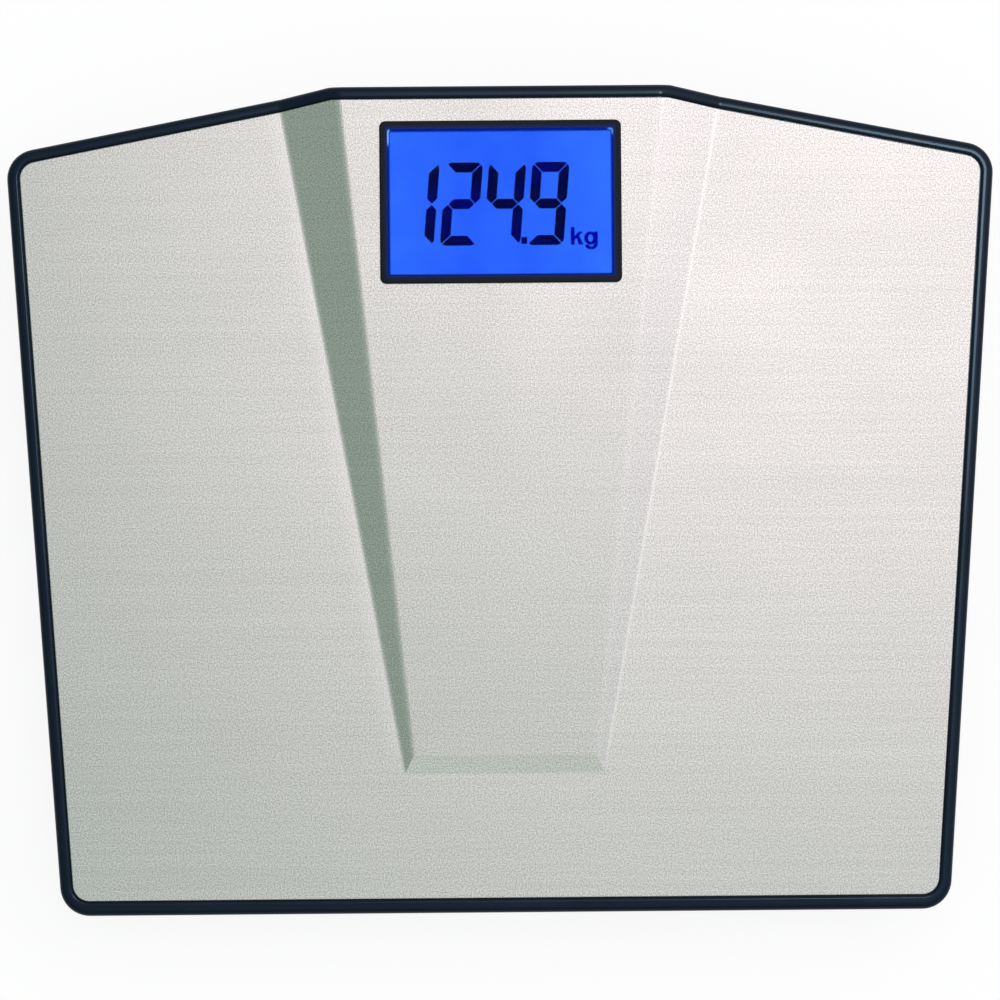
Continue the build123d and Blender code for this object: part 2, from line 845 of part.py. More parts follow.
def socket_face_y(z):
    """Where a connector's front face lies at a height."""
    v = connector_y - connector_depth / 2
    w = (z - display_z - v * math.sin(panel_tilt)) / math.cos(panel_tilt)
    return display_y + v * math.cos(panel_tilt) - w * math.sin(panel_tilt)


def sockets():
    """Place, height and lead radius of each socket in the connectors."""
    spots = [(connector_x(name), lead_z, lead_radius) for name in foot_places]
    spots.append((connector_x("switch"), lead_z, switch_lead_radius))
    for side in (-1, 1):
        place = connector_x("battery") + side * battery_socket_half
        spots.append((place, battery_socket_z, battery_lead_radius))
    return spots


def wire_connectors():
    """Row of connectors along the board's front edge, one for each lead."""
    block = standing_block(
        connector_width, connector_depth, board_bottom - connector_height, board_bottom
    )
    blocks = [display_plane * Pos(connector_x(name), connector_y) * block for name in connector_order]
    bores = []
    for x, z, radius in sockets():
        bore = Rot(90, 0, 0) * Cylinder(radius + socket_clearance, 2 * socket_depth)
        bores.append(Pos(x, socket_face_y(z), z) * bore)
    return grouped([piece.cut(*bores) for piece in blocks])


# Leads

def bend_radii(points):
    """Radius at each bend, as large as its two runs allow."""
    radii = []
    for before, bend, after in zip(points, points[1:], points[2:]):
        arriving = Vector(*bend) - Vector(*before)
        leaving = Vector(*after) - Vector(*bend)
        half_turn = math.radians(arriving.get_angle(leaving)) / 2
        radii.append(run_share * min(arriving.length, leaving.length) / math.tan(half_turn))
    return radii


def lead(name, points, radius):
    """Round lead along a route of straight runs joined by arcs."""
    radii = bend_radii(points)
    path = FilletPolyline(*points, radius=radii)
    section = Plane(origin=path @ 0, z_dir=path % 0) * Circle(radius)
    body = sweep(section, path=path)
    expected = math.pi * radius**2 * path.length
    print(name, "length", round(path.length, 1), "radii", [round(r, 1) for r in radii],
          "volume share", round(body.volume / expected, 4))
    return body


def into_socket(x, z):
    """Last bend and end of a lead that runs straight into a socket."""
    end_y = socket_face_y(z) + socket_depth - lead_lift
    return [(x, end_y - socket_approach, z), (x, end_y, z)]


def cell_lead_points(name):
    x, y = foot_places[name]
    side = math.copysign(1, x)
    bends = front_lead_bends if name.startswith("front") else back_lead_bends
    start = (x - side * gauge_length / 2, y + gauge_place, lead_z)
    middle = [(side * bend_x, bend_y, lead_z) for bend_x, bend_y in bends]
    return [start] + middle + into_socket(connector_x(name), lead_z)


def switch_lead_points():
    start = (-switch_body_length / 2, switch_y, switch_lead_bends[0][2])
    return [start] + switch_lead_bends + into_socket(connector_x("switch"), lead_z)


def battery_lead_points(side):
    start = (side * battery_x(battery_count - 1), bay_back_y, battery_lead_z)
    socket_x = connector_x("battery") + side * battery_socket_half
    return [start] + battery_lead_bends[side] + into_socket(socket_x, battery_socket_z)


def cradle_runs():
    """Runs of the load cell leads that rest in a cradle."""
    runs = []
    for name in foot_places:
        points = cell_lead_points(name)
        for first in cradle_run_index[name.split("_")[0]]:
            runs.append((points[first], points[first + 1]))
    return runs


def lead_cradle(start, end):
    """Moulded post on the base floor, with a groove that a lead lies in."""
    middle = (Vector(*start) + Vector(*end)) / 2
    turn = math.degrees(math.atan2(end[1] - start[1], end[0] - start[0]))
    post = standing_block(cradle_length, cradle_width, base_floor_top, lead_z)
    groove = Pos(0, 0, lead_z) * Rot(0, 90, 0) * Cylinder(lead_radius + socket_clearance, 2 * cradle_length)
    return Pos(middle.X, middle.Y) * Rot(0, 0, turn) * (post - groove)


# Feet and load cells

def load_cell(x, y):
    """Stamped steel plate with a tongue, and the button that the foot presses."""
    plate = rounded_plate(cell_size, cell_size, cell_thickness, cell_corner, cell_low)
    slot_y = tongue_root + tongue_tip + cell_slot
    slot_middle = (tongue_tip + cell_slot - tongue_root) / 2
    for side in (-1, 1):
        slot = standing_block(cell_slot, slot_y, cell_low, cell_top)
        plate = plate - Pos(side * (tongue_width + cell_slot) / 2, slot_middle) * slot
    cross = standing_block(tongue_width + 2 * cell_slot, cell_slot, cell_low, cell_top)
    plate = plate - Pos(0, tongue_tip + cell_slot / 2) * cross
    return Pos(x, y) * (plate + rod(button_radius, contact_z, cell_low))


def strain_gauges():
    """Coated gauge on the root of each load cell's tongue."""
    gauge = standing_block(gauge_length, gauge_width, cell_top, cell_top + gauge_height)
    gauge = fillet(gauge.edges().filter_by(Axis.Z), gauge_corner)
    return grouped([Pos(x, y + gauge_place) * gauge for x, y in foot_places.values()])


def cell_bracket(x, y):
    """Plate that clamps a load cell's frame to its seat, held by two screws."""
    body = rounded_plate(bracket_size, bracket_size, bracket_thickness, bracket_corner, bracket_low)
    ear_radius = bracket_post_radius + screw_hole_clearance
    arm = standing_block(2 * bracket_post_x, 2 * ear_radius, bracket_low, cell_low)
    body = body + arm
    for side in (-1, 1):
        ear = rod(ear_radius, bracket_low, cell_low)
        hole = rod(screw_radius + screw_hole_clearance, bracket_low, cell_low)
        body = body + Pos(side * bracket_post_x, 0) * ear - Pos(side * bracket_post_x, 0) * hole
    hole = rounded_plate(bracket_hole, bracket_hole, bracket_thickness, bracket_corner, bracket_low)
    return Pos(x, y) * (body - hole)


def cell_bracket_screws():
    piece = screw(screw_radius, screw_head_radius, screw_head_height, screw_length - bracket_thickness)
    seat = bracket_low - screw_head_height
    spots = []
    for x, y in foot_places.values():
        spots += [Pos(x + side * bracket_post_x, y, seat) * piece for side in (-1, 1)]
    return grouped(spots)


def foot(x, y):
    """Moulded foot: cup round the pad, flange that keeps it in its well, stem to the load cell."""
    low = pad_height - pad_seat
    body = rod(foot_radius, low, flange_top) + rod(foot_radius + flange_width, flange_low, flange_top)
    web_top = pad_height + foot_wall
    pocket = rod(foot_radius - foot_wall, web_top, flange_top) - rod(stem_radius, web_top, flange_top)
    for turn in (0, 90):
        web = standing_block(2 * foot_radius, foot_web, web_top, flange_top)
        pocket = pocket - Rot(0, 0, turn) * web
    body = body - pocket + rod(stem_radius, web_top, contact_z)
    body = body - rod(pad_radius + pad_clearance, 0, pad_height)
    return Pos(x, y) * body


def foot_pad(x, y):
    """Rubber disc seated in the foot, with grip rings on its underside."""
    body = rod(pad_radius, 0, pad_height)
    body = fillet(body.edges().filter_by(GeomType.CIRCLE).sort_by(Axis.Z)[:1], pad_edge_round)
    for ring in range(1, pad_ring_count + 1):
        inner = pad_radius * ring / (pad_ring_count + 1)
        body = body - (rod(inner + pad_groove, 0, pad_groove) - rod(inner, 0, pad_groove))
    return Pos(x, y) * body


# Batteries and their door

def battery_x(index):
    return (index - (battery_count - 1) / 2) * battery_pitch


def battery_turned(index):
    """Cells lie head to tail. The even ones have their plus end at the back."""
    return index % 2 == 1


def battery(index):
    """Dry cell with its plus nub."""
    shell_length = battery_length - battery_nub
    body = rod(battery_radius, 0, shell_length)
    body = fillet(body.edges().filter_by(GeomType.CIRCLE), battery_edge_round)
    body = body + rod(battery_nub_radius, shell_length, battery_length)
    front_end = bay_y - bay_hollow_y / 2 + contact_thickness
    laid = Rot(-90, 0, 0) * body
    start = front_end + spring_length
    if battery_turned(index):
        laid = Rot(90, 0, 0) * body
        start = bay_back_y - contact_thickness - spring_length
    return Pos(battery_x(index), start, battery_z) * laid


def battery_springs():
    """Conical contact springs at the minus ends, each as its outer form."""
    outer = Cone(spring_big_radius, spring_small_radius, spring_length)
    inner = Cone(spring_big_radius - spring_wall, spring_small_radius - spring_wall, spring_length)
    spring = outer - inner
    springs = []
    for index in range(battery_count):
        side = 1 if battery_turned(index) else -1
        place = bay_y + side * (bay_hollow_y / 2 - contact_thickness - spring_length / 2)
        springs.append(Pos(battery_x(index), place, battery_z) * Rot(90 * side, 0, 0) * spring)
    return grouped(springs)


def contact_plate(first, last, side):
    """Contact plate across the ends of one cell or two, on the front or back wall of the bay."""
    width = battery_x(last) - battery_x(first) + contact_width
    plate = Box(width, contact_thickness, contact_height)
    middle = (battery_x(first) + battery_x(last)) / 2
    return Pos(middle, bay_y + side * (bay_hollow_y - contact_thickness) / 2, battery_z) * plate


def contact_tab(index, clearance=0.0):
    """Strip from an end cell's contact plate up through the bay's roof."""
    tab = standing_block(
        contact_tab_width + 2 * clearance,
        contact_thickness + 2 * clearance,
        battery_z,
        bay_top + contact_tab_rise,
    )
    return Pos(battery_x(index), bay_back_y - contact_thickness / 2) * tab


def contact_tab_slots():
    return [contact_tab(index, slot_clearance) for index in (0, battery_count - 1)]


def battery_contacts():
    """Plates that join the cells in a row, with a tab at each end of the row."""
    last = battery_count - 1
    plates = [contact_plate(index, index, 1) + contact_tab(index) for index in (0, last)]
    plates += [contact_plate(index, index + 1, 1) for index in range(1, last - 1, 2)]
    plates += [contact_plate(index, index + 1, -1) for index in range(0, last, 2)]
    return grouped(plates)


def battery_door():
    """Door of the bay: plate, hinge barrel with trunnions, spring tab and grip ribs."""
    front = hinge_y
    back = bay_y + bay_mouth_y / 2 - door_gap
    width = bay_mouth_x - 2 * door_gap
    plate = standing_block(width, back - front, base_clearance, door_top)
    plate = fillet(plate.edges().filter_by(Axis.Z).sort_by(Axis.Y)[-2:], door_corner)
    body = Pos(0, (front + back) / 2) * plate
    barrel = Rot(0, 90, 0) * Cylinder(barrel_radius, width)
    reach = bay_mouth_x + 2 * trunnion_length
    trunnions = Rot(0, 90, 0) * Cylinder(trunnion_radius, reach)
    body = body + Pos(0, hinge_y, hinge_z) * (barrel + trunnions)
    tab = standing_block(latch_width, latch_thickness, base_clearance, door_top + latch_rise)
    body = body + Pos(0, back - latch_gap - latch_thickness / 2) * tab
    groove_top = base_clearance + door_groove_depth
    groove = standing_block(door_groove_length, door_groove_width, base_clearance, groove_top)
    for step in range(door_groove_count):
        place = back - door_groove_pitch * (step + 1)
        body = body - Pos(0, place) * groove
    return body


# Unit switch

def unit_switch_knob():
    """Knob that slides in the base's slot and moves the switch."""
    low = base_clearance + knob_sink
    flange_z = base_floor_top + knob_flange_lift
    stem_top = switch_low + knob_stem_rise
    flange_end = flange_z + knob_flange_thickness
    flange_x = knob_length + 2 * knob_flange
    flange_y = knob_width + 2 * knob_flange
    body = standing_block(knob_length, knob_width, low, flange_end)
    body = body + standing_block(flange_x, flange_y, flange_z, flange_end)
    body = body + standing_block(knob_stem, knob_stem, flange_z, stem_top)
    groove = standing_block(knob_groove_width, knob_width, low, low + knob_groove_depth)
    for step in (-1, 0, 1):
        body = body - Pos(step * knob_groove_pitch, 0) * groove
    return Pos(-switch_travel / 2, switch_y) * body


def unit_switch_body():
    """Slide switch that stands on two supports over the knob."""
    body = standing_block(switch_body_length, switch_body_width, switch_low, switch_low + switch_body_height)
    slot_x = knob_stem + switch_travel + 2 * knob_gap
    slot_y = knob_stem + 2 * knob_gap
    slot_top = switch_low + knob_stem_rise + knob_gap
    return Pos(0, switch_y) * (body - standing_block(slot_x, slot_y, switch_low, slot_top))


def build_parts():
    """Every node of the scale, by name."""
    parts = {
        "platform_plate": platform_plate(),
        "plate_adhesive": plate_adhesive(),
        "top_tray": top_tray(),
        "base_cover": base_cover(),
        "base_screws": base_screws(),
        "display_bezel": display_bezel(),
        "display_lens": display_lens(),
        "lens_gasket": lens_gasket(),
        "lcd_panel": lcd_panel(),
        "backlight_guide": backlight_guide(),
        "backlight_leds": backlight_leds(),
        "lcd_frame": lcd_frame(),
        "lcd_frame_screws": lcd_frame_screws(),
        "zebra_strips": zebra_strips(),
        "main_board": main_board(),
        "board_screws": board_screws(),
        "controller_chip": controller_chip(),
        "board_capacitors": board_capacitors(),
        "wire_connectors": wire_connectors(),
        "strain_gauges": strain_gauges(),
        "cell_bracket_screws": cell_bracket_screws(),
        "battery_springs": battery_springs(),
        "battery_contacts": battery_contacts(),
        "battery_door": battery_door(),
        "unit_switch_knob": unit_switch_knob(),
        "unit_switch_body": unit_switch_body(),
        "switch_lead": lead("switch_lead", switch_lead_points(), switch_lead_radius),
        "battery_lead_plus": lead("battery_lead_plus", battery_lead_points(1), battery_lead_radius),
        "battery_lead_minus": lead("battery_lead_minus", battery_lead_points(-1), battery_lead_radius),
    }
    for place, (x, y) in foot_places.items():
        parts["load_cell_" + place] = load_cell(x, y)
        parts["cell_bracket_" + place] = cell_bracket(x, y)
        parts["foot_" + place] = foot(x, y)
        parts["foot_pad_" + place] = foot_pad(x, y)
        lead_name = "cell_lead_" + place
        parts[lead_name] = lead(lead_name, cell_lead_points(place), lead_radius)
    for index in range(battery_count):
        parts["battery_" + str(index + 1)] = battery(index)
    return parts


os.makedirs("parts", exist_ok=True)
for node, shape in build_parts().items():
    export_step(shape, os.path.join("parts", node + ".step"))
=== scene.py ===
import math

import bmesh
import bpy
from mathutils import Matrix, Quaternion, Vector


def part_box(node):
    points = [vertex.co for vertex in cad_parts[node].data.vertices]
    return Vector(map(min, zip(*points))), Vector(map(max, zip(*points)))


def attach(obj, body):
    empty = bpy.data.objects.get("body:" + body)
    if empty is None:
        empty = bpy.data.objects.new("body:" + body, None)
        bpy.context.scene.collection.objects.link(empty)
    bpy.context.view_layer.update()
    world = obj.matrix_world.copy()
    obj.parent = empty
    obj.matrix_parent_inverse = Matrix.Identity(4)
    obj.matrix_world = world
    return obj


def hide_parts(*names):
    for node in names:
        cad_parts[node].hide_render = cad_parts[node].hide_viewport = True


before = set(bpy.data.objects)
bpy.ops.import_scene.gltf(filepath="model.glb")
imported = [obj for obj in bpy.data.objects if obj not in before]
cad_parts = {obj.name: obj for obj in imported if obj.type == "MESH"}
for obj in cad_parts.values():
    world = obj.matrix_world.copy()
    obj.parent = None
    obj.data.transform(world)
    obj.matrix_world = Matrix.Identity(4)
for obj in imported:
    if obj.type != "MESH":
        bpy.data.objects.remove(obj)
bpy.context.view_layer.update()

mm = 0.001

# Top tray: the black body of the scale, with the bead that shows all round the platform.
# One injection moulding in blue-black plastic. The etched mould leaves a very fine grain,
# and years of wiping leave its gloss a little uneven.


def new_finish(name):
    """Node material with one shader, and the piece's own coordinates in metres."""
    material = bpy.data.materials.new(name)
    material.use_nodes = True
    tree = material.node_tree
    shader = tree.nodes["Principled BSDF"]
    place = tree.nodes.new("ShaderNodeTexCoord").outputs["Object"]
    return material, tree, shader, place


def noise(tree, place, grain, detail=2.0, stretch=(1, 1, 1), in_plan=False):
    """Noise of a given grain, drawn out along the axes by stretch; in plan it is the same at all heights."""
    mapping = tree.nodes.new("ShaderNodeMapping")
    mapping.inputs["Scale"].default_value = [1 / (grain * part) for part in stretch]
    tree.links.new(place, mapping.inputs["Vector"])
    texture = tree.nodes.new("ShaderNodeTexNoise")
    texture.noise_dimensions = "2D" if in_plan else "3D"
    texture.inputs["Scale"].default_value = 1.0
    texture.inputs["Detail"].default_value = detail
    tree.links.new(mapping.outputs["Vector"], texture.inputs["Vector"])
    return texture.outputs["Fac"]


def spread(tree, value, low, high, start=0.3, end=0.7):
    """Value carried from start and end to low and high."""
    node = tree.nodes.new("ShaderNodeMapRange")
    node.inputs["From Min"].default_value = start
    node.inputs["From Max"].default_value = end
    node.inputs["To Min"].default_value = low
    node.inputs["To Max"].default_value = high
    tree.links.new(value, node.inputs["Value"])
    return node.outputs["Result"]


def tint(tree, value, first, second):
    """Colour between two, each a colour or a node's output, by a value from 0 to 1."""
    node = tree.nodes.new("ShaderNodeMix")
    node.data_type = "RGBA"
    tree.links.new(value, node.inputs["Factor"])
    for end, colour in (("A", first), ("B", second)):
        if isinstance(colour, tuple):
            node.inputs[end].default_value = (*colour, 1)
        else:
            tree.links.new(colour, node.inputs[end])
    return node.outputs["Result"]


def relief(tree, shader, height, depth):
    """Adds a bump of a given depth to the shader's surface."""
    bump = tree.nodes.new("ShaderNodeBump")
    bump.inputs["Strength"].default_value = 1.0
    bump.inputs["Distance"].default_value = depth
    tree.links.new(height, bump.inputs["Height"])
    for link in shader.inputs["Normal"].links:
        tree.links.new(link.from_socket, bump.inputs["Normal"])
    tree.links.new(bump.outputs["Normal"], shader.inputs["Normal"])


def moulded_plastic(name, dark, light, roughness, grain, depth, ior):
    """Moulded plastic: etched grain, slow drift of colour, and gloss that wanders with wear."""
    material, tree, shader, place = new_finish(name)
    drift = noise(tree, place, 35 * mm, detail=3.0)
    etch = noise(tree, place, grain, detail=2.0)
    tree.links.new(tint(tree, drift, dark, light), shader.inputs["Base Color"])
    worn = spread(tree, drift, roughness - 0.05, roughness + 0.05)
    tree.links.new(worn, shader.inputs["Roughness"])
    shader.inputs["IOR"].default_value = ior
    relief(tree, shader, etch, depth)
    return material


def dress(material, *names):
    """Gives CAD nodes a finish."""
    for name in names:
        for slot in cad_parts[name].material_slots:
            slot.material = material


tray_plastic = moulded_plastic(
    "tray_plastic",
    dark=(0.0042, 0.0080, 0.0150),
    light=(0.0056, 0.0102, 0.0190),
    roughness=0.24,
    grain=0.35 * mm,
    depth=0.004 * mm,
    ior=1.20,
)
dress(tray_plastic, "top_tray")


# Platform plate: one stainless sheet, pressed so that a wedge-shaped panel stands up towards the back.
# Its satin finish is a fine blasted speckle over long brush lines that run across the width.
# A painted highlight draws a fine bright line along the folds at the foot of the panel's walls, brighter at
# the right one, and a broader painted highlight lies in a band beside the left one; both start a little
# behind the panel's front.
steel_dark = (0.48, 0.47, 0.452)
steel_light = (0.97, 0.96, 0.929)
# Colour of the painted highlight along the folds and beside the left one.
steel_painted_highlight = (0.99, 0.985, 0.97)
fold_front = (39.8 * mm, -109.6 * mm)
fold_back = (89.5 * mm, 165.8 * mm)
fold_line = 0.7 * mm
side_highlight_band = 8 * mm


def calculate(tree, operation, first, second):
    """Math node on a value and a number, or on two values."""
    node = tree.nodes.new("ShaderNodeMath")
    node.operation = operation
    tree.links.new(first, node.inputs[0])
    if isinstance(second, float):
        node.inputs[1].default_value = second
    else:
        tree.links.new(second, node.inputs[1])
    return node.outputs["Value"]


plate_steel, tree, shader, place = new_finish("plate_steel")
speckle = noise(tree, place, 0.55 * mm, detail=1.0, in_plan=True)
brush_lines = noise(tree, place, 0.8 * mm, detail=2.0, stretch=(120, 1, 1), in_plan=True)
long_scratches = noise(tree, place, 2.4 * mm, detail=4.0, stretch=(80, 1, 1), in_plan=True)
cloud = noise(tree, place, 70 * mm, detail=3.0, in_plan=True)
shade = calculate(tree, "ADD", spread(tree, speckle, 0.12, 0.88), spread(tree, brush_lines, -0.03, 0.03))
shade = calculate(tree, "ADD", shade, spread(tree, long_scratches, -0.025, 0.025))
satin = tint(tree, shade, steel_dark, steel_light)
split = tree.nodes.new("ShaderNodeSeparateXYZ")
tree.links.new(place, split.inputs["Vector"])
taper = (fold_back[0] - fold_front[0]) / (fold_back[1] - fold_front[1])
fold_x = calculate(tree, "ADD", calculate(tree, "MULTIPLY", split.outputs["Y"], taper),
                   fold_front[0] - taper * fold_front[1])
off_fold = calculate(tree, "SUBTRACT", calculate(tree, "ABSOLUTE", split.outputs["X"], 0.0), fold_x)
fold_distance = calculate(tree, "ABSOLUTE", off_fold, 0.0)
# Painted highlight: a bright line on both folds, blended into the base colour.
near_fold = spread(tree, fold_distance, 1.0, 0.0, start=0.2 * fold_line, end=fold_line)
past_front = spread(tree, split.outputs["Y"], 0.0, 1.0, start=fold_front[1], end=fold_front[1] + 15 * mm)
by_side = spread(tree, split.outputs["X"], 0.10, 0.34, start=-fold_line, end=fold_line)
line = calculate(tree, "MULTIPLY", near_fold, by_side)
outside = calculate(tree, "MULTIPLY", spread(tree, off_fold, 0.0, 1.0, start=0.0, end=fold_line),
                    spread(tree, off_fold, 1.0, 0.0, start=fold_line, end=side_highlight_band))
left = spread(tree, split.outputs["X"], 0.24, 0.0, start=-fold_line, end=fold_line)
# Painted highlight in a band outside the left fold.
drawn = calculate(tree, "MULTIPLY", outside, left)
painted_highlight = calculate(tree, "MULTIPLY", calculate(tree, "MAXIMUM", line, drawn), past_front)
tree.links.new(tint(tree, painted_highlight, satin, steel_painted_highlight), shader.inputs["Base Color"])
shader.inputs["Metallic"].default_value = 1.0
tree.links.new(spread(tree, cloud, 0.33, 0.37), shader.inputs["Roughness"])
relief(tree, shader, speckle, 0.002 * mm)
relief(tree, shader, brush_lines, 0.001 * mm)
dress(plate_steel, "platform_plate")


# Plate adhesive: a double-sided sheet, die cut, that bonds the plate to the tray's deck.
# White paper-fibre carrier with a faintly yellow glue on both faces.
adhesive_sheet = moulded_plastic(
    "adhesive_sheet",
    dark=(0.62, 0.60, 0.54),
    light=(0.74, 0.72, 0.66),
    roughness=0.65,
    grain=0.8 * mm,
    depth=0.02 * mm,
    ior=1.45,
)
dress(adhesive_sheet, "plate_adhesive")


# Display bezel: a black frame that drops through the plate's window and carries the lens on a ledge.
# Moulded in the same blue-black plastic as the tray, from a finer polished mould. A faint blue glow is
# painted as emission next to the window and on its inner walls, standing for the backlight's spill onto the
# frame.
bezel_plastic = moulded_plastic(
    "bezel_plastic",
    dark=(0.0030, 0.0070, 0.0130),
    light=(0.0044, 0.0092, 0.0180),
    roughness=0.26,
    grain=0.25 * mm,
    depth=0.002 * mm,
    ior=1.22,
)
painted_spill_glow = (0.0, 0.0080, 0.1100)
spill_reach = 1.8 * mm
lens_low, lens_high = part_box("display_lens")
lens_middle = (lens_low + lens_high) / 2
lens_reach = (lens_high - lens_low) / 2


def off_middle(tree, place, middle):
    """Distances from a middle, across the scale and along it."""
    centred = tree.nodes.new("ShaderNodeMapping")
    centred.inputs["Location"].default_value = -middle
    tree.links.new(place, centred.inputs["Vector"])
    split = tree.nodes.new("ShaderNodeSeparateXYZ")
    tree.links.new(centred.outputs["Vector"], split.inputs["Vector"])
    return split.outputs["X"], split.outputs["Y"]


tree = bezel_plastic.node_tree
shader = tree.nodes["Principled BSDF"]
place = tree.nodes.new("ShaderNodeTexCoord").outputs["Object"]
across, along = off_middle(tree, place, lens_middle)
beside = calculate(tree, "SUBTRACT", calculate(tree, "ABSOLUTE", across, 0.0), lens_reach.x)
beyond = calculate(tree, "SUBTRACT", calculate(tree, "ABSOLUTE", along, 0.0), lens_reach.y)
off_lens = calculate(tree, "MAXIMUM", beside, beyond)
# Painted glow: blue emission strongest at the lens's edge, fading out over a short reach.
painted_spill = calculate(tree, "POWER", spread(tree, off_lens, 1.0, 0.0, start=0.0, end=spill_reach), 2.0)
tree.links.new(tint(tree, painted_spill, (0, 0, 0), painted_spill_glow), shader.inputs["Emission Color"])
shader.inputs["Emission Strength"].default_value = 1.0
dress(bezel_plastic, "display_bezel")


# Liquid crystal panel: two glass sheets lit from behind by blue LEDs at both ends.
# The light is even, a little paler towards the ends where the LEDs are.
def top_place(name):
    """Place of a flat node's top face: origin in its middle, X across it, Z out of it."""
    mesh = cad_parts[name].data
    top = [face for face in mesh.polygons if face.normal.z > 0.9]
    corners = {index for face in top for index in face.vertices}
    middle = sum((mesh.vertices[index].co for index in corners), Vector()) / len(corners)
    out = sum((face.normal for face in top), Vector()).normalized()
    across = Vector((1, 0, 0))
    return Matrix.Translation(middle) @ Matrix((across, out.cross(across), out)).transposed().to_4x4()


glass_place = top_place("lcd_panel")
ledge = 0.6 * mm
seen_half = lens_reach - Vector((ledge, ledge, 0))
glow_middle = (0.0180, 0.1120, 0.960)
glow_ends = (0.0300, 0.1650, 1.000)
painted_edge_shade = (0.0020, 0.0200, 0.420)
edge_fade = 0.7 * mm
lit_glass, tree, shader, place = new_finish("lit_glass")
glass_x, glass_y = off_middle(tree, place, glass_place.translation)
across = calculate(tree, "ABSOLUTE", glass_x, 0.0)
along = calculate(tree, "ABSOLUTE", glass_y, 0.0)
paler = spread(tree, across, 0.0, 0.6, start=0.3 * seen_half.x, end=seen_half.x)
paler = calculate(tree, "ADD", paler, spread(tree, glass_x, -0.1, 0.2, start=-seen_half.x, end=seen_half.x))
paler = calculate(tree, "ADD", paler, spread(tree, noise(tree, place, 14 * mm, detail=2.0), -0.1, 0.3))
glow = tint(tree, paler, glow_middle, glow_ends)
# Painted shade: the glow darkens to deep blue within a short fade of the window's edge.
inside_x = spread(tree, across, 1.0, 0.0, start=seen_half.x - edge_fade, end=seen_half.x)
inside_y = spread(tree, along, 1.0, 0.0, start=seen_half.y - edge_fade, end=seen_half.y)
inside = calculate(tree, "MULTIPLY", inside_x, inside_y)
tree.links.new(tint(tree, inside, painted_edge_shade, glow), shader.inputs["Emission Color"])
shader.inputs["Emission Strength"].default_value = 1.0
shader.inputs["Base Color"].default_value = (0.002, 0.006, 0.030, 1)
shader.inputs["Roughness"].default_value = 0.2
shader.inputs["IOR"].default_value = 1.05
dress(lit_glass, "lcd_panel")


# Readout: the dark segments of the liquid crystal, four slanted digits, a point and the unit.
# Each is a thin etched film on the glass, with mitred ends and a hairline gap to its neighbours.
digit_half_width = 7.45 * mm
digit_half_height = 16.7 * mm
stroke = 4.0 * mm
hairline = 0.26 * mm
corner_round = 2.3 * mm
slant = 0.083
digit_pitch = 17.4 * mm
first_digit_x = -33.15 * mm
digits_y = -0.5 * mm
film = 0.04 * mm
point_place = (9.4 * mm, -15.3 * mm)
point_half = (1.15 * mm, 1.35 * mm)
lit_segments = ["bc", "abged", "fgbc", "abcdfg"]


def segment_outline(letter):
    """Outline of one of the seven segments, before the slant."""
    w, h, s, e = digit_half_width, digit_half_height, stroke, hairline
    bend = []
    for angle in (45.0, 67.5, 90.0):
        turned = math.radians(angle)
        bend.append((corner_round * (1 - math.cos(turned)), corner_round * (1 - math.sin(turned))))
    bar = [(-w + x + e, h - y) for x, y in bend] + [(w - x - e, h - y) for x, y in reversed(bend)]
    bar += [(w - s - e, h - s), (-w + s + e, h - s)]
    post = [(w - y, h - x - e) for x, y in bend]
    post += [(w, s / 2 + e), (w - s / 2, e), (w - s, s / 2 + e), (w - s, h - s - e)]
    middle = [(-w + s / 2 + e, 0), (-w + s + e, s / 2), (w - s - e, s / 2), (w - s / 2 - e, 0),
              (w - s - e, -s / 2), (-w + s + e, -s / 2)]
    shapes = {"a": (bar, 1, 1), "d": (bar, 1, -1), "g": (middle, 1, 1), "b": (post, 1, 1), "c": (post, 1, -1),
              "f": (post, -1, 1), "e": (post, -1, -1)}
    points, across, up = shapes[letter]
    return [(x * across, y * up) for x, y in points]


def add_film(mesh, outline):
    """Thin plate of film with that outline, lying on the glass."""
    rings = []
    for height in (0, film):
        rings.append([mesh.verts.new((x, y, height)) for x, y in outline])
    mesh.faces.new(rings[0])
    mesh.faces.new(rings[1])
    count = len(outline)
    for index in range(count):
        after = (index + 1) % count
        mesh.faces.new((rings[0][index], rings[0][after], rings[1][after], rings[1][index]))


def mesh_piece(name, mesh, material, matrix=None):
    """Turns a built mesh into a piece of the scene."""
    bmesh.ops.recalc_face_normals(mesh, faces=mesh.faces)
    data = bpy.data.meshes.new(name)
    mesh.to_mesh(data)
    mesh.free()
    data.materials.append(material)
    if matrix is not None:
        data.transform(matrix)
    piece = bpy.data.objects.new(name, data)
    bpy.context.scene.collection.objects.link(piece)
    return piece


segment_film, tree, shader, place = new_finish("segment_film")
film_black = (0.0004, 0.0012, 0.0400)
film_blue = (0.0004, 0.0008, 0.1300)
patchy = spread(tree, noise(tree, place, 22 * mm, detail=1.0), 0.0, 1.0, start=0.42, end=0.62)
tree.links.new(tint(tree, patchy, film_black, film_blue), shader.inputs["Emission Color"])
shader.inputs["Emission Strength"].default_value = 1.0
shader.inputs["Base Color"].default_value = (0.0002, 0.0002, 0.004, 1)
shader.inputs["Roughness"].default_value = 0.4
shader.inputs["Specular IOR Level"].default_value = 0.0

built = bmesh.new()
for number, letters in enumerate(lit_segments):
    digit_x = first_digit_x + number * digit_pitch
    for letter in letters:
        outline = [(digit_x + x + slant * y, digits_y + y) for x, y in segment_outline(letter)]
        add_film(built, outline)
point_x, point_y = point_place
half_x, half_y = point_half
add_film(built, [(point_x - half_x, point_y - half_y), (point_x + half_x, point_y - half_y),
                 (point_x + half_x, point_y + half_y), (point_x - half_x, point_y + half_y)])
readout_digits = mesh_piece("readout_digits", built, segment_film, glass_place)
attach(readout_digits, "housing")

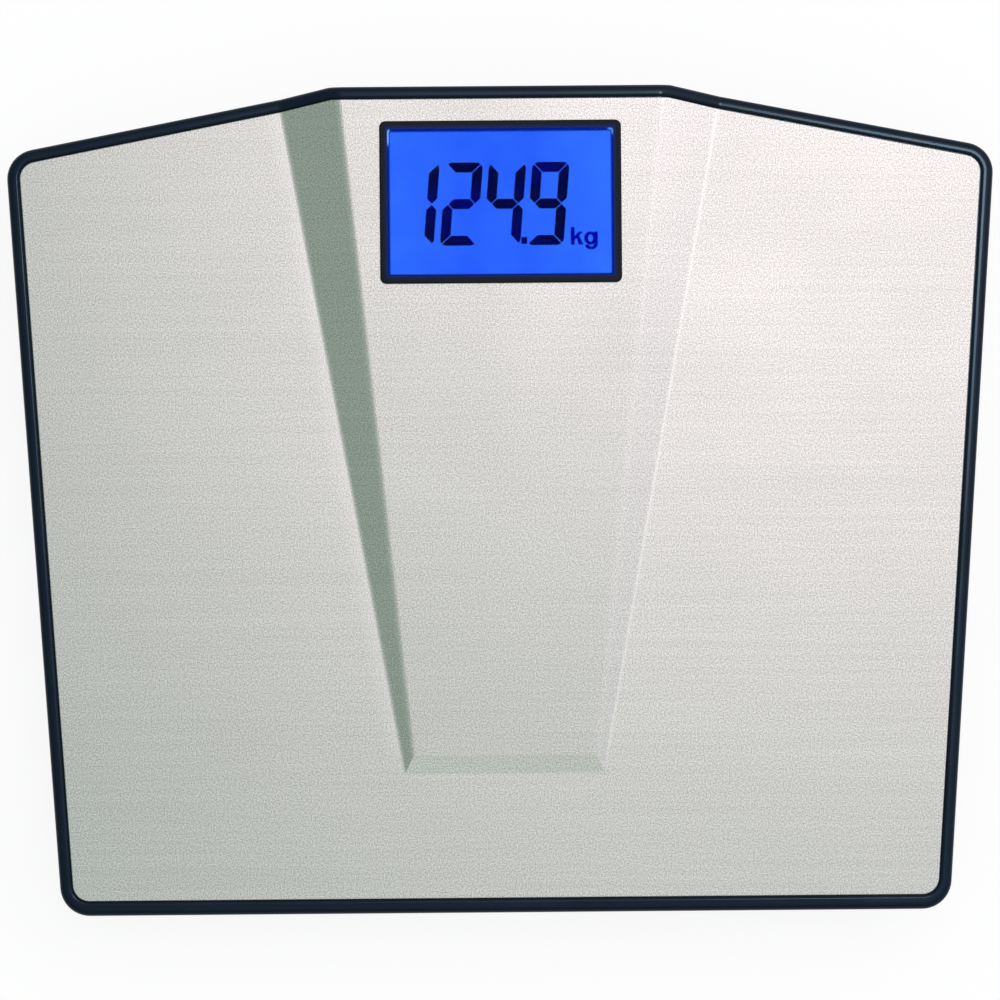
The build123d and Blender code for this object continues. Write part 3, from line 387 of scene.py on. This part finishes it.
unit_stroke = 1.55 * mm
unit_base = -17.15 * mm
x_height = 5.2 * mm
k_left = 28.1 * mm
k_height = 7.05 * mm
k_width = 5.1 * mm
g_left = 33.5 * mm
g_width = 5.45 * mm
g_tail = 2.0 * mm


def arc_film(mesh, centre, outer, inner, start, end, steps):
    """Curved stroke of film between two ellipses, from one angle to another."""
    spots = []
    for step in range(steps + 1):
        angle = math.radians(start + (end - start) * step / steps)
        spots.append((math.cos(angle), math.sin(angle)))
    for (x0, y0), (x1, y1) in zip(spots, spots[1:]):
        corners = ((outer, x0, y0), (outer, x1, y1), (inner, x1, y1), (inner, x0, y0))
        add_film(mesh, [(centre[0] + reach[0] * x, centre[1] + reach[1] * y) for reach, x, y in corners])


built = bmesh.new()
stem_right = k_left + unit_stroke
k_right = k_left + k_width
add_film(built, [(k_left, unit_base), (stem_right, unit_base), (stem_right, unit_base + k_height),
                 (k_left, unit_base + k_height)])
knee = (stem_right, unit_base + 0.32 * x_height)
arm_top = unit_base + x_height
add_film(built, [knee, (k_right - 0.15 * mm, arm_top), (k_right - 2.0 * mm, arm_top),
                 (stem_right, unit_base + 0.66 * x_height)])
add_film(built, [(stem_right + 0.9 * mm, unit_base + 0.52 * x_height), (k_right - 2.0 * mm, unit_base),
                 (k_right, unit_base), (stem_right + 1.75 * mm, unit_base + 0.72 * x_height)])
g_right = g_left + g_width
bowl_outer = ((g_width - 0.35 * mm) / 2, (x_height + 0.15 * mm) / 2)
bowl_centre = (g_left + bowl_outer[0], unit_base + x_height / 2)
bowl_inner = (bowl_outer[0] - unit_stroke, bowl_outer[1] - 1.2 * mm)
arc_film(built, bowl_centre, bowl_outer, bowl_inner, 0, 360, 32)
tail_top = unit_base + 0.25 * mm
add_film(built, [(g_right - unit_stroke, tail_top), (g_right, tail_top), (g_right, unit_base + x_height),
                 (g_right - unit_stroke + 0.15 * mm, unit_base + x_height)])
tail_outer = ((g_width - 0.2 * mm) / 2, g_tail + 0.25 * mm)
tail_centre = (g_right - tail_outer[0], tail_top)
tail_inner = (tail_outer[0] - unit_stroke, tail_outer[1] - 1.25 * mm)
arc_film(built, tail_centre, tail_outer, tail_inner, -170, 0, 20)
unit_film, tree, shader, place = new_finish("unit_film")
unit_blue = (0.0002, 0.0015, 0.3200)
unit_pale = (0.0005, 0.0035, 0.4200)
tree.links.new(tint(tree, noise(tree, place, 3 * mm), unit_blue, unit_pale), shader.inputs["Emission Color"])
shader.inputs["Emission Strength"].default_value = 1.0
shader.inputs["Base Color"].default_value = (0.0002, 0.0002, 0.006, 1)
shader.inputs["Specular IOR Level"].default_value = 0.0
readout_unit = mesh_piece("readout_unit", built, unit_film, glass_place)
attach(readout_unit, "housing")


# Display lens: a clear acrylic window, cut with polished round edges, lying on the bezel's ledge.
# Its thin bright corners are painted glints on the glue bead beneath it.
lens_corner = 1.2 * mm
lens_polish = 0.35 * mm
corner_steps = 8


def rounded_rectangle(half_x, half_y, radius, steps):
    """Points of a rectangle with round corners."""
    points = []
    for turn, (x, y) in enumerate([(1, 1), (-1, 1), (-1, -1), (1, -1)]):
        for step in range(steps + 1):
            angle = math.pi / 2 * (turn + step / steps)
            points.append((x * (half_x - radius) + radius * math.cos(angle),
                           y * (half_y - radius) + radius * math.sin(angle)))
    return points


lens_place = top_place("display_lens")
lens_points = [lens_place.inverted() @ vertex.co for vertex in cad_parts["display_lens"].data.vertices]
lens_half_x = max(point.x for point in lens_points)
lens_half_y = max(point.y for point in lens_points)
lens_depth = -min(point.z for point in lens_points)
glue = 0.05 * mm
polish_middle = 0.3 * lens_polish
levels = [(0.0, lens_depth - glue), (0.0, lens_polish), (polish_middle, polish_middle), (lens_polish, 0.0)]
built = bmesh.new()
rings = []
for inset, sunk in levels:
    outline = rounded_rectangle(lens_half_x - inset, lens_half_y - inset, lens_corner - inset, corner_steps)
    rings.append([built.verts.new((x, y, -sunk)) for x, y in outline])
for below, above in zip(rings, rings[1:]):
    for index in range(len(below)):
        after = (index + 1) % len(below)
        built.faces.new((below[index], below[after], above[after], above[index]))
built.faces.new(rings[0])
built.faces.new(rings[-1])
lens_acrylic, tree, shader, place = new_finish("lens_acrylic")
shader.inputs["Base Color"].default_value = (0.97, 0.98, 1.0, 1)
shader.inputs["Transmission Weight"].default_value = 1.0
shader.inputs["IOR"].default_value = 1.06
wiped = spread(tree, noise(tree, place, 12 * mm, detail=4.0, stretch=(3, 1, 1)), 0.015, 0.05)
tree.links.new(wiped, shader.inputs["Roughness"])
lens_window = mesh_piece("lens_window", built, lens_acrylic, lens_place)
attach(lens_window, "housing")
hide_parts("display_lens")


# Lens glue: a thin clear bead on the bezel's ledge that fixes the lens.
# A blue glow is painted on it as emission, standing for the backlight's spill, and rings the window with a
# darker line.
# A pale painted glint lies on it along the left edge near the back, and a weaker one at the back right
# corner.
built = bmesh.new()
rings = []
glue_top = lens_depth - glue
for inset, sunk in ((ledge, glue_top), (0.0, glue_top), (0.0, lens_depth), (ledge, lens_depth)):
    radius = lens_corner - inset / 2
    outline = rounded_rectangle(lens_half_x - inset, lens_half_y - inset, radius, corner_steps)
    rings.append([built.verts.new((x, y, -sunk)) for x, y in outline])
for first, second in zip(rings, rings[1:] + rings[:1]):
    for index in range(len(first)):
        after = (index + 1) % len(first)
        built.faces.new((first[index], first[after], second[after], second[index]))
lit_glue, tree, shader, place = new_finish("lit_glue")
painted_glow_blue = (0.0006, 0.0090, 0.190)
painted_glow_pale = (0.0016, 0.0160, 0.300)
painted_glint = (0.160, 0.420, 1.000)
bead_across, bead_along = off_middle(tree, place, lens_middle)
at_left = spread(tree, bead_across, 1.0, 0.0, start=-lens_reach.x + ledge, end=-lens_reach.x + 2 * ledge)
at_back = spread(tree, bead_along, 0.0, 1.0, start=lens_reach.y - 7 * mm, end=lens_reach.y - 5 * mm)
at_right = spread(tree, bead_across, 0.0, 1.0, start=lens_reach.x - 2.5 * mm, end=lens_reach.x - 1.5 * mm)
at_corner = spread(tree, bead_along, 0.0, 0.6, start=lens_reach.y - 3.0 * mm, end=lens_reach.y - 1.5 * mm)
# Painted glints: pale emission at the back of the left edge and at the back right corner.
glint_mask = calculate(tree, "MAXIMUM", calculate(tree, "MULTIPLY", at_left, at_back),
                  calculate(tree, "MULTIPLY", at_right, at_corner))
# Painted glow: blue emission that stands for the backlight's spill.
painted_glow = tint(tree, noise(tree, place, 5 * mm), painted_glow_blue, painted_glow_pale)
tree.links.new(tint(tree, glint_mask, painted_glow, painted_glint), shader.inputs["Emission Color"])
shader.inputs["Emission Strength"].default_value = 1.0
shader.inputs["Base Color"].default_value = (0.002, 0.004, 0.020, 1)
shader.inputs["Roughness"].default_value = 0.3
shader.inputs["IOR"].default_value = 1.05
lens_glue = mesh_piece("lens_glue", built, lit_glue, lens_place)
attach(lens_glue, "housing")


# Lens gasket: a die-cut frame of closed-cell foam between the bezel and the glass.
# It keeps dust out of the gap and presses the glass on its strips.
foam = moulded_plastic(
    "foam",
    dark=(0.010, 0.010, 0.011),
    light=(0.020, 0.020, 0.021),
    roughness=0.9,
    grain=0.4 * mm,
    depth=0.05 * mm,
    ior=1.3,
)
dress(foam, "lens_gasket")


# Backlight: a clear block behind the glass, lit from its ends by small white LED packages.
# The block is moulded acrylic with a dotted back; the LEDs are soldered to the frame's flex.
guide_acrylic, tree, shader, place = new_finish("guide_acrylic")
dots = tree.nodes.new("ShaderNodeTexVoronoi")
dots.inputs["Scale"].default_value = 1 / (1.2 * mm)
dots.inputs["Randomness"].default_value = 0.0
tree.links.new(place, dots.inputs["Vector"])
dotted = spread(tree, dots.outputs["Distance"], 1.0, 0.0, start=0.2, end=0.3)
tree.links.new(tint(tree, dotted, (0.45, 0.58, 0.80), (0.86, 0.92, 1.0)), shader.inputs["Base Color"])
shader.inputs["Roughness"].default_value = 0.12
relief(tree, shader, dotted, 0.02 * mm)
dress(guide_acrylic, "backlight_guide")

led_package = moulded_plastic(
    "led_package",
    dark=(0.72, 0.72, 0.66),
    light=(0.85, 0.84, 0.74),
    roughness=0.35,
    grain=0.5 * mm,
    depth=0.01 * mm,
    ior=1.45,
)
dress(led_package, "backlight_leds")


# Liquid crystal frame: a white moulded tray that holds glass and light block under the deck.
# White so that no light is lost; four ears take its screws and four posts take the board.
white_moulding = moulded_plastic(
    "white_moulding",
    dark=(0.70, 0.70, 0.67),
    light=(0.80, 0.80, 0.77),
    roughness=0.45,
    grain=0.4 * mm,
    depth=0.006 * mm,
    ior=1.45,
)
dress(white_moulding, "lcd_frame")


# Screws: small cross-recess screws in bright zinc for the frame, the board, the brackets and the base.
# The plating has a faint yellow drift and turning marks on the heads.
zinc, tree, shader, place = new_finish("zinc")
plating = noise(tree, place, 2.5 * mm, detail=3.0)
tree.links.new(tint(tree, plating, (0.48, 0.48, 0.47), (0.66, 0.65, 0.60)), shader.inputs["Base Color"])
shader.inputs["Metallic"].default_value = 1.0
tree.links.new(spread(tree, plating, 0.25, 0.40), shader.inputs["Roughness"])
relief(tree, shader, noise(tree, place, 0.3 * mm, stretch=(4, 1, 1)), 0.008 * mm)
dress(zinc, "lcd_frame_screws", "board_screws", "cell_bracket_screws", "base_screws")


# Connector strips: two elastomer bars of many conducting layers between the glass and the board.
# Pink insulating rubber outside, with the dark layers showing as fine stripes along the bar.
strip_rubber, tree, shader, place = new_finish("strip_rubber")
layers = tree.nodes.new("ShaderNodeTexWave")
layers.bands_direction = "X"
layers.inputs["Scale"].default_value = 0.05 / mm
layers.inputs["Distortion"].default_value = 0.2
tree.links.new(place, layers.inputs["Vector"])
tree.links.new(tint(tree, layers.outputs["Fac"], (0.50, 0.28, 0.34), (0.10, 0.08, 0.09)),
               shader.inputs["Base Color"])
shader.inputs["Roughness"].default_value = 0.7
relief(tree, shader, layers.outputs["Fac"], 0.01 * mm)
dress(strip_rubber, "zebra_strips")


# Main board: a green glass-fibre board behind the frame, with copper tracks under its solder mask.
# The controller is a black moulded chip, and two sleeved cans smooth the supply.
board_mask, tree, shader, place = new_finish("board_mask")
tracks = tree.nodes.new("ShaderNodeTexBrick")
tracks.inputs["Scale"].default_value = 0.16 / mm
tracks.inputs["Mortar Size"].default_value = 0.03
tracks.inputs["Color1"].default_value = (0.008, 0.085, 0.030, 1)
tracks.inputs["Color2"].default_value = (0.012, 0.110, 0.040, 1)
tracks.inputs["Mortar"].default_value = (0.030, 0.200, 0.070, 1)
tree.links.new(place, tracks.inputs["Vector"])
tree.links.new(tracks.outputs["Color"], shader.inputs["Base Color"])
tree.links.new(spread(tree, noise(tree, place, 6 * mm), 0.28, 0.42), shader.inputs["Roughness"])
relief(tree, shader, tracks.outputs["Fac"], 0.03 * mm)
dress(board_mask, "main_board")

chip_resin = moulded_plastic(
    "chip_resin",
    dark=(0.010, 0.010, 0.011),
    light=(0.018, 0.018, 0.019),
    roughness=0.5,
    grain=0.15 * mm,
    depth=0.008 * mm,
    ior=1.45,
)
dress(chip_resin, "controller_chip")

can_sleeve = moulded_plastic(
    "can_sleeve",
    dark=(0.018, 0.024, 0.050),
    light=(0.030, 0.038, 0.075),
    roughness=0.32,
    grain=1.5 * mm,
    depth=0.01 * mm,
    ior=1.45,
)
dress(can_sleeve, "board_capacitors")

natural_nylon = moulded_plastic(
    "natural_nylon",
    dark=(0.62, 0.59, 0.50),
    light=(0.74, 0.71, 0.61),
    roughness=0.48,
    grain=0.4 * mm,
    depth=0.006 * mm,
    ior=1.45,
)
dress(natural_nylon, "wire_connectors")


# Leads: round soft-jacketed cables from the load cells and the switch, and two single battery wires.
# Extruded vinyl, so the surface is smooth with a slight waviness along the run.
corner_places = ("front_left", "front_right", "back_left", "back_right")


def vinyl(name, dark, light):
    return moulded_plastic(name, dark, light, roughness=0.42, grain=1.6 * mm, depth=0.03 * mm, ior=1.45)


grey_vinyl = vinyl("grey_vinyl", dark=(0.24, 0.24, 0.26), light=(0.34, 0.34, 0.36))
red_vinyl = vinyl("red_vinyl", dark=(0.36, 0.010, 0.010), light=(0.50, 0.020, 0.016))
black_vinyl = vinyl("black_vinyl", dark=(0.010, 0.010, 0.011), light=(0.018, 0.018, 0.019))
dress(grey_vinyl, "switch_lead", *["cell_lead_" + corner for corner in corner_places])
dress(red_vinyl, "battery_lead_plus")
dress(black_vinyl, "battery_lead_minus")


# Load cells: stamped spring-steel plates, each with a tongue that bends under its foot.
# Nickel plated, with the grain of the rolled sheet; a white silicone drop covers each gauge.
cell_plate, tree, shader, place = new_finish("cell_plate")
rolled = noise(tree, place, 0.4 * mm, detail=3.0, stretch=(1, 60, 1))
tree.links.new(tint(tree, rolled, (0.40, 0.39, 0.37), (0.56, 0.55, 0.52)), shader.inputs["Base Color"])
shader.inputs["Metallic"].default_value = 1.0
tree.links.new(spread(tree, rolled, 0.28, 0.42), shader.inputs["Roughness"])
relief(tree, shader, rolled, 0.006 * mm)
dress(cell_plate, *["load_cell_" + corner for corner in corner_places])

silicone = moulded_plastic(
    "silicone",
    dark=(0.68, 0.68, 0.66),
    light=(0.80, 0.80, 0.78),
    roughness=0.38,
    grain=1.2 * mm,
    depth=0.06 * mm,
    ior=1.41,
)
dress(silicone, "strain_gauges")

black_moulding = moulded_plastic(
    "black_moulding",
    dark=(0.008, 0.008, 0.009),
    light=(0.014, 0.014, 0.015),
    roughness=0.5,
    grain=0.45 * mm,
    depth=0.012 * mm,
    ior=1.45,
)
dress(black_moulding, *["cell_bracket_" + corner for corner in corner_places])


# Feet: moulded cups that stand in the base's wells and press the load cells.
# Each holds a ringed rubber pad, matt and slightly dusty where it meets the floor.
dress(black_moulding, *["foot_" + corner for corner in corner_places])
pad_rubber = moulded_plastic(
    "pad_rubber",
    dark=(0.022, 0.022, 0.023),
    light=(0.040, 0.039, 0.038),
    roughness=0.85,
    grain=0.6 * mm,
    depth=0.03 * mm,
    ior=1.5,
)
dress(pad_rubber, *["foot_pad_" + corner for corner in corner_places])


# Base cover: the black floor of the scale, screwed up into the tray, with wells, bay and switch slot.
# Moulded with a coarser spark texture than the tray, because nobody sees it in use.
base_plastic = moulded_plastic(
    "base_plastic",
    dark=(0.007, 0.008, 0.010),
    light=(0.012, 0.013, 0.016),
    roughness=0.52,
    grain=0.6 * mm,
    depth=0.03 * mm,
    ior=1.42,
)
dress(base_plastic, "base_cover", "battery_door")


# Battery cells: four dry cells head to tail, each a steel can in a plain printed sleeve.
# Pale grey sleeve with a dark band at the plus end, and bare metal at both ends.
cell_names = ["battery_" + str(number) for number in range(1, 5)]
contacts_low, contacts_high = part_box("battery_contacts")
bare_end = 1.4 * mm
band_length = 12 * mm


def spring_in_front(name):
    """True where the cell's minus end, and so its spring, is towards the front."""
    low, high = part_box(name)
    return low.y - contacts_low.y > contacts_high.y - high.y


def cell_sleeve(name, node):
    """Sleeve of one cell, banded along its length."""
    material, tree, shader, place = new_finish(name)
    low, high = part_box(node)
    split = tree.nodes.new("ShaderNodeSeparateXYZ")
    tree.links.new(place, split.inputs["Vector"])
    along = split.outputs["Y"]
    plus, minus = (high.y, low.y) if spring_in_front(node) else (low.y, high.y)
    inward = math.copysign(1, minus - plus)
    band = spread(tree, along, 1.0, 0.0, start=plus + inward * band_length,
                  end=plus + inward * (band_length + 0.2 * mm))
    scuffs = noise(tree, place, 1.5 * mm, detail=4.0, stretch=(1, 4, 1))
    sleeve = tint(tree, scuffs, (0.30, 0.32, 0.34), (0.36, 0.38, 0.40))
    painted = tint(tree, band, sleeve, (0.020, 0.024, 0.030))
    covered = tree.nodes.new("ShaderNodeMath")
    covered.operation = "COMPARE"
    covered.inputs[1].default_value = (low.y + high.y) / 2
    covered.inputs[2].default_value = (high.y - low.y) / 2 - bare_end
    tree.links.new(along, covered.inputs[0])
    wrapped = covered.outputs["Value"]
    tree.links.new(tint(tree, wrapped, (0.60, 0.59, 0.57), painted), shader.inputs["Base Color"])
    tree.links.new(spread(tree, wrapped, 1.0, 0.0, start=0, end=1), shader.inputs["Metallic"])
    tree.links.new(spread(tree, scuffs, 0.28, 0.40), shader.inputs["Roughness"])
    relief(tree, shader, scuffs, 0.006 * mm)
    return material


for cell in cell_names:
    dress(cell_sleeve(cell + "_sleeve", cell), cell)


# Battery contacts: nickel-plated strips on the bay's end walls, with conical wire springs at the minus ends.
# Each spring is wound from hard wire, wide on its strip and narrow at the cell.
nickel, tree, shader, place = new_finish("nickel")
bloom = noise(tree, place, 4 * mm, detail=4.0)
tree.links.new(tint(tree, bloom, (0.58, 0.55, 0.49), (0.70, 0.67, 0.61)), shader.inputs["Base Color"])
shader.inputs["Metallic"].default_value = 1.0
tree.links.new(spread(tree, bloom, 0.16, 0.30), shader.inputs["Roughness"])
relief(tree, shader, noise(tree, place, 0.5 * mm), 0.004 * mm)
dress(nickel, "battery_contacts")

wire_radius = 0.4 * mm
spring_turns = 4.5
turn_points = 16
wide_radius = 4.6 * mm
narrow_radius = 3.0 * mm
strip_thickness = 0.5 * mm

coils = bpy.data.curves.new("battery_coils", "CURVE")
coils.dimensions = "3D"
coils.bevel_depth = wire_radius
coils.bevel_resolution = 3
for cell in cell_names:
    low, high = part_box(cell)
    axis_x = (low.x + high.x) / 2
    axis_z = (low.z + high.z) / 2
    foot, tip = contacts_low.y + strip_thickness, low.y
    if not spring_in_front(cell):
        foot, tip = contacts_high.y - strip_thickness, high.y
    inward = math.copysign(wire_radius, tip - foot)
    foot, tip = foot + inward, tip - inward
    count = int(spring_turns * turn_points) + 1
    coil = coils.splines.new("POLY")
    coil.points.add(count - 1)
    for index, point in enumerate(coil.points):
        share = index / (count - 1)
        angle = 2 * math.pi * spring_turns * share
        radius = wide_radius + (narrow_radius - wide_radius) * share
        rise = foot + (tip - foot) * share
        point.co = (axis_x + radius * math.cos(angle), rise, axis_z + radius * math.sin(angle), 1)
coils.materials.append(nickel)
battery_coils = bpy.data.objects.new("battery_coils", coils)
bpy.context.scene.collection.objects.link(battery_coils)
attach(battery_coils, "housing")
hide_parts("battery_springs")


# Unit switch: a grooved grey knob in the base's slot, over a black slide switch on two supports.
# The knob is moulded in pale plastic so that it can be found against the black floor.
knob_plastic = moulded_plastic(
    "knob_plastic",
    dark=(0.40, 0.41, 0.42),
    light=(0.48, 0.49, 0.50),
    roughness=0.45,
    grain=0.3 * mm,
    depth=0.01 * mm,
    ior=1.45,
)
dress(knob_plastic, "unit_switch_knob")
dress(black_moulding, "unit_switch_body")


# Floor: a plain white sweep that the scale stands on, seen as white and still holding a soft shadow.
# It is open from underneath, so that the base can be looked at from below.
floor_half = 14.0
floor_white, tree, shader, place = new_finish("floor_white")
shader.inputs["Base Color"].default_value = (0.86, 0.86, 0.86, 1)
shader.inputs["Roughness"].default_value = 0.9
shader.inputs["Specular IOR Level"].default_value = 0.1
glow = tree.nodes.new("ShaderNodeEmission")
glow.inputs["Color"].default_value = (1, 1, 1, 1)
glow.inputs["Strength"].default_value = 1.1
path = tree.nodes.new("ShaderNodeLightPath")
seen = tree.nodes.new("ShaderNodeMath")
seen.operation = "ADD"
tree.links.new(path.outputs["Is Camera Ray"], seen.inputs[0])
tree.links.new(path.outputs["Is Glossy Ray"], seen.inputs[1])
seen_through = tree.nodes.new("ShaderNodeMath")
seen_through.operation = "ADD"
tree.links.new(seen.outputs["Value"], seen_through.inputs[0])
tree.links.new(path.outputs["Is Transmission Ray"], seen_through.inputs[1])
white_share = spread(tree, seen_through.outputs["Value"], 0.0, 0.8, start=0, end=1)
whitened = tree.nodes.new("ShaderNodeMixShader")
tree.links.new(white_share, whitened.inputs["Fac"])
tree.links.new(shader.outputs["BSDF"], whitened.inputs[1])
tree.links.new(glow.outputs["Emission"], whitened.inputs[2])
underside = tree.nodes.new("ShaderNodeNewGeometry")
clear = tree.nodes.new("ShaderNodeBsdfTransparent")
one_sided = tree.nodes.new("ShaderNodeMixShader")
tree.links.new(underside.outputs["Backfacing"], one_sided.inputs["Fac"])
tree.links.new(whitened.outputs["Shader"], one_sided.inputs[1])
tree.links.new(clear.outputs["BSDF"], one_sided.inputs[2])
tree.links.new(one_sided.outputs["Shader"], tree.nodes["Material Output"].inputs["Surface"])
built = bmesh.new()
corners = [(-1, -1), (1, -1), (1, 1), (-1, 1)]
built.faces.new([built.verts.new((x * floor_half, y * floor_half, 0)) for x, y in corners])
floor = mesh_piece("floor", built, floor_white)


# Light: a pale room, brighter to the back right, and two softboxes above with a narrow gap between them.
# Their front edge lies over the platform, so the steel goes from bright at the right to grey at the left.
# A dim card lights the panel's front ramp, and a small lamp for the tray alone draws a line on its bead.
room_fill = (0.298, 0.383, 0.330)
room_glow = (0.674, 0.607, 0.726)
glow_from = Vector((0.78, 0.57, 1.0)).normalized()
glow_focus = 3.75
room = bpy.data.worlds.new("room")
bpy.context.scene.world = room
room.use_nodes = True
tree = room.node_tree
towards = tree.nodes.new("ShaderNodeVectorMath")
towards.operation = "DOT_PRODUCT"
towards.inputs[1].default_value = glow_from
tree.links.new(tree.nodes.new("ShaderNodeTexCoord").outputs["Generated"], towards.inputs[0])
facing = tree.nodes.new("ShaderNodeMath")
facing.operation = "MAXIMUM"
facing.inputs[1].default_value = 0.0
tree.links.new(towards.outputs["Value"], facing.inputs[0])
focused = tree.nodes.new("ShaderNodeMath")
focused.operation = "POWER"
focused.inputs[1].default_value = glow_focus
tree.links.new(facing.outputs["Value"], focused.inputs[0])
mixed = tree.nodes.new("ShaderNodeVectorMath")
mixed.operation = "MULTIPLY_ADD"
mixed.inputs[1].default_value = room_glow
mixed.inputs[2].default_value = room_fill
tree.links.new(focused.outputs["Value"], mixed.inputs[0])
tree.links.new(mixed.outputs["Vector"], tree.nodes["Background"].inputs["Color"])


def softbox(name, place, target, size_x, size_y, radiance):
    """Rectangular lamp that faces a point and has a given brightness in each colour."""
    lamp = bpy.data.lights.new(name, "AREA")
    lamp.shape = "RECTANGLE"
    lamp.size = size_x
    lamp.size_y = size_y
    lamp.energy = max(radiance) * math.pi * size_x * size_y
    lamp.color = [part / max(radiance) for part in radiance]
    holder = bpy.data.objects.new(name, lamp)
    holder.location = place
    holder.rotation_mode = "QUATERNION"
    holder.rotation_quaternion = (Vector(target) - Vector(place)).to_track_quat("-Z", "Y")
    holder.visible_camera = False
    bpy.context.scene.collection.objects.link(holder)
    return holder


lamp_height = 1.93
softbox_depth = 1.36
softbox_y = 0.68
key_x = 0.15
side_x = 1.53
bead_x = 0.45
bead_y = 0.38
softbox("key_softbox", (key_x, softbox_y, lamp_height), (key_x, softbox_y, 0.0), size_x=0.70,
        size_y=softbox_depth, radiance=(1.255, 1.052, 1.120))
softbox("side_softbox", (side_x, softbox_y, lamp_height), (side_x, softbox_y, 0.0), size_x=1.74,
        size_y=softbox_depth, radiance=(1.130, 0.910, 0.960))
softbox("front_card", (0.0, -0.98, 1.84), (0.0, -0.1, 0.0), size_x=0.7, size_y=1.05,
        radiance=(0.54, 0.52, 0.52))
bead_lamp = softbox("bead_lamp", (bead_x, bead_y, lamp_height), (bead_x, bead_y, 0.0), size_x=0.28,
                    size_y=0.28, radiance=(70, 105, 135))
bead_only = bpy.data.collections.new("bead_only")
bead_only.objects.link(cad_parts["top_tray"])
bead_lamp.light_linking.receiver_collection = bead_only


# Camera: almost straight above, a touch towards the front, with the picture's slight turn.
camera_distance = 1.8
camera_tilt_deg = 2.02
camera_aside_deg = -0.32
camera_turn_deg = -0.476
frame_width = 0.4016
looked_at = Vector((-1.21 * mm, -0.44 * mm, 36 * mm))
sensor = 36.0
camera_data = bpy.data.cameras.new("camera")
camera_data.sensor_width = sensor
camera_data.lens = sensor * camera_distance / frame_width
camera = bpy.data.objects.new("camera", camera_data)
aside = math.sin(math.radians(camera_aside_deg))
tilt = math.sin(math.radians(camera_tilt_deg))
back = Vector((aside, -tilt, 1)).normalized()
camera.location = looked_at + back * camera_distance
camera.rotation_mode = "QUATERNION"
turn = Quaternion((0, 0, 1), math.radians(camera_turn_deg))
right = Vector((0, 1, 0)).cross(back).normalized()
camera.rotation_quaternion = Matrix((right, back.cross(right), back)).transposed().to_quaternion() @ turn
bpy.context.scene.collection.objects.link(camera)
bpy.context.scene.camera = camera
bpy.context.scene.view_settings.view_transform = "Standard"
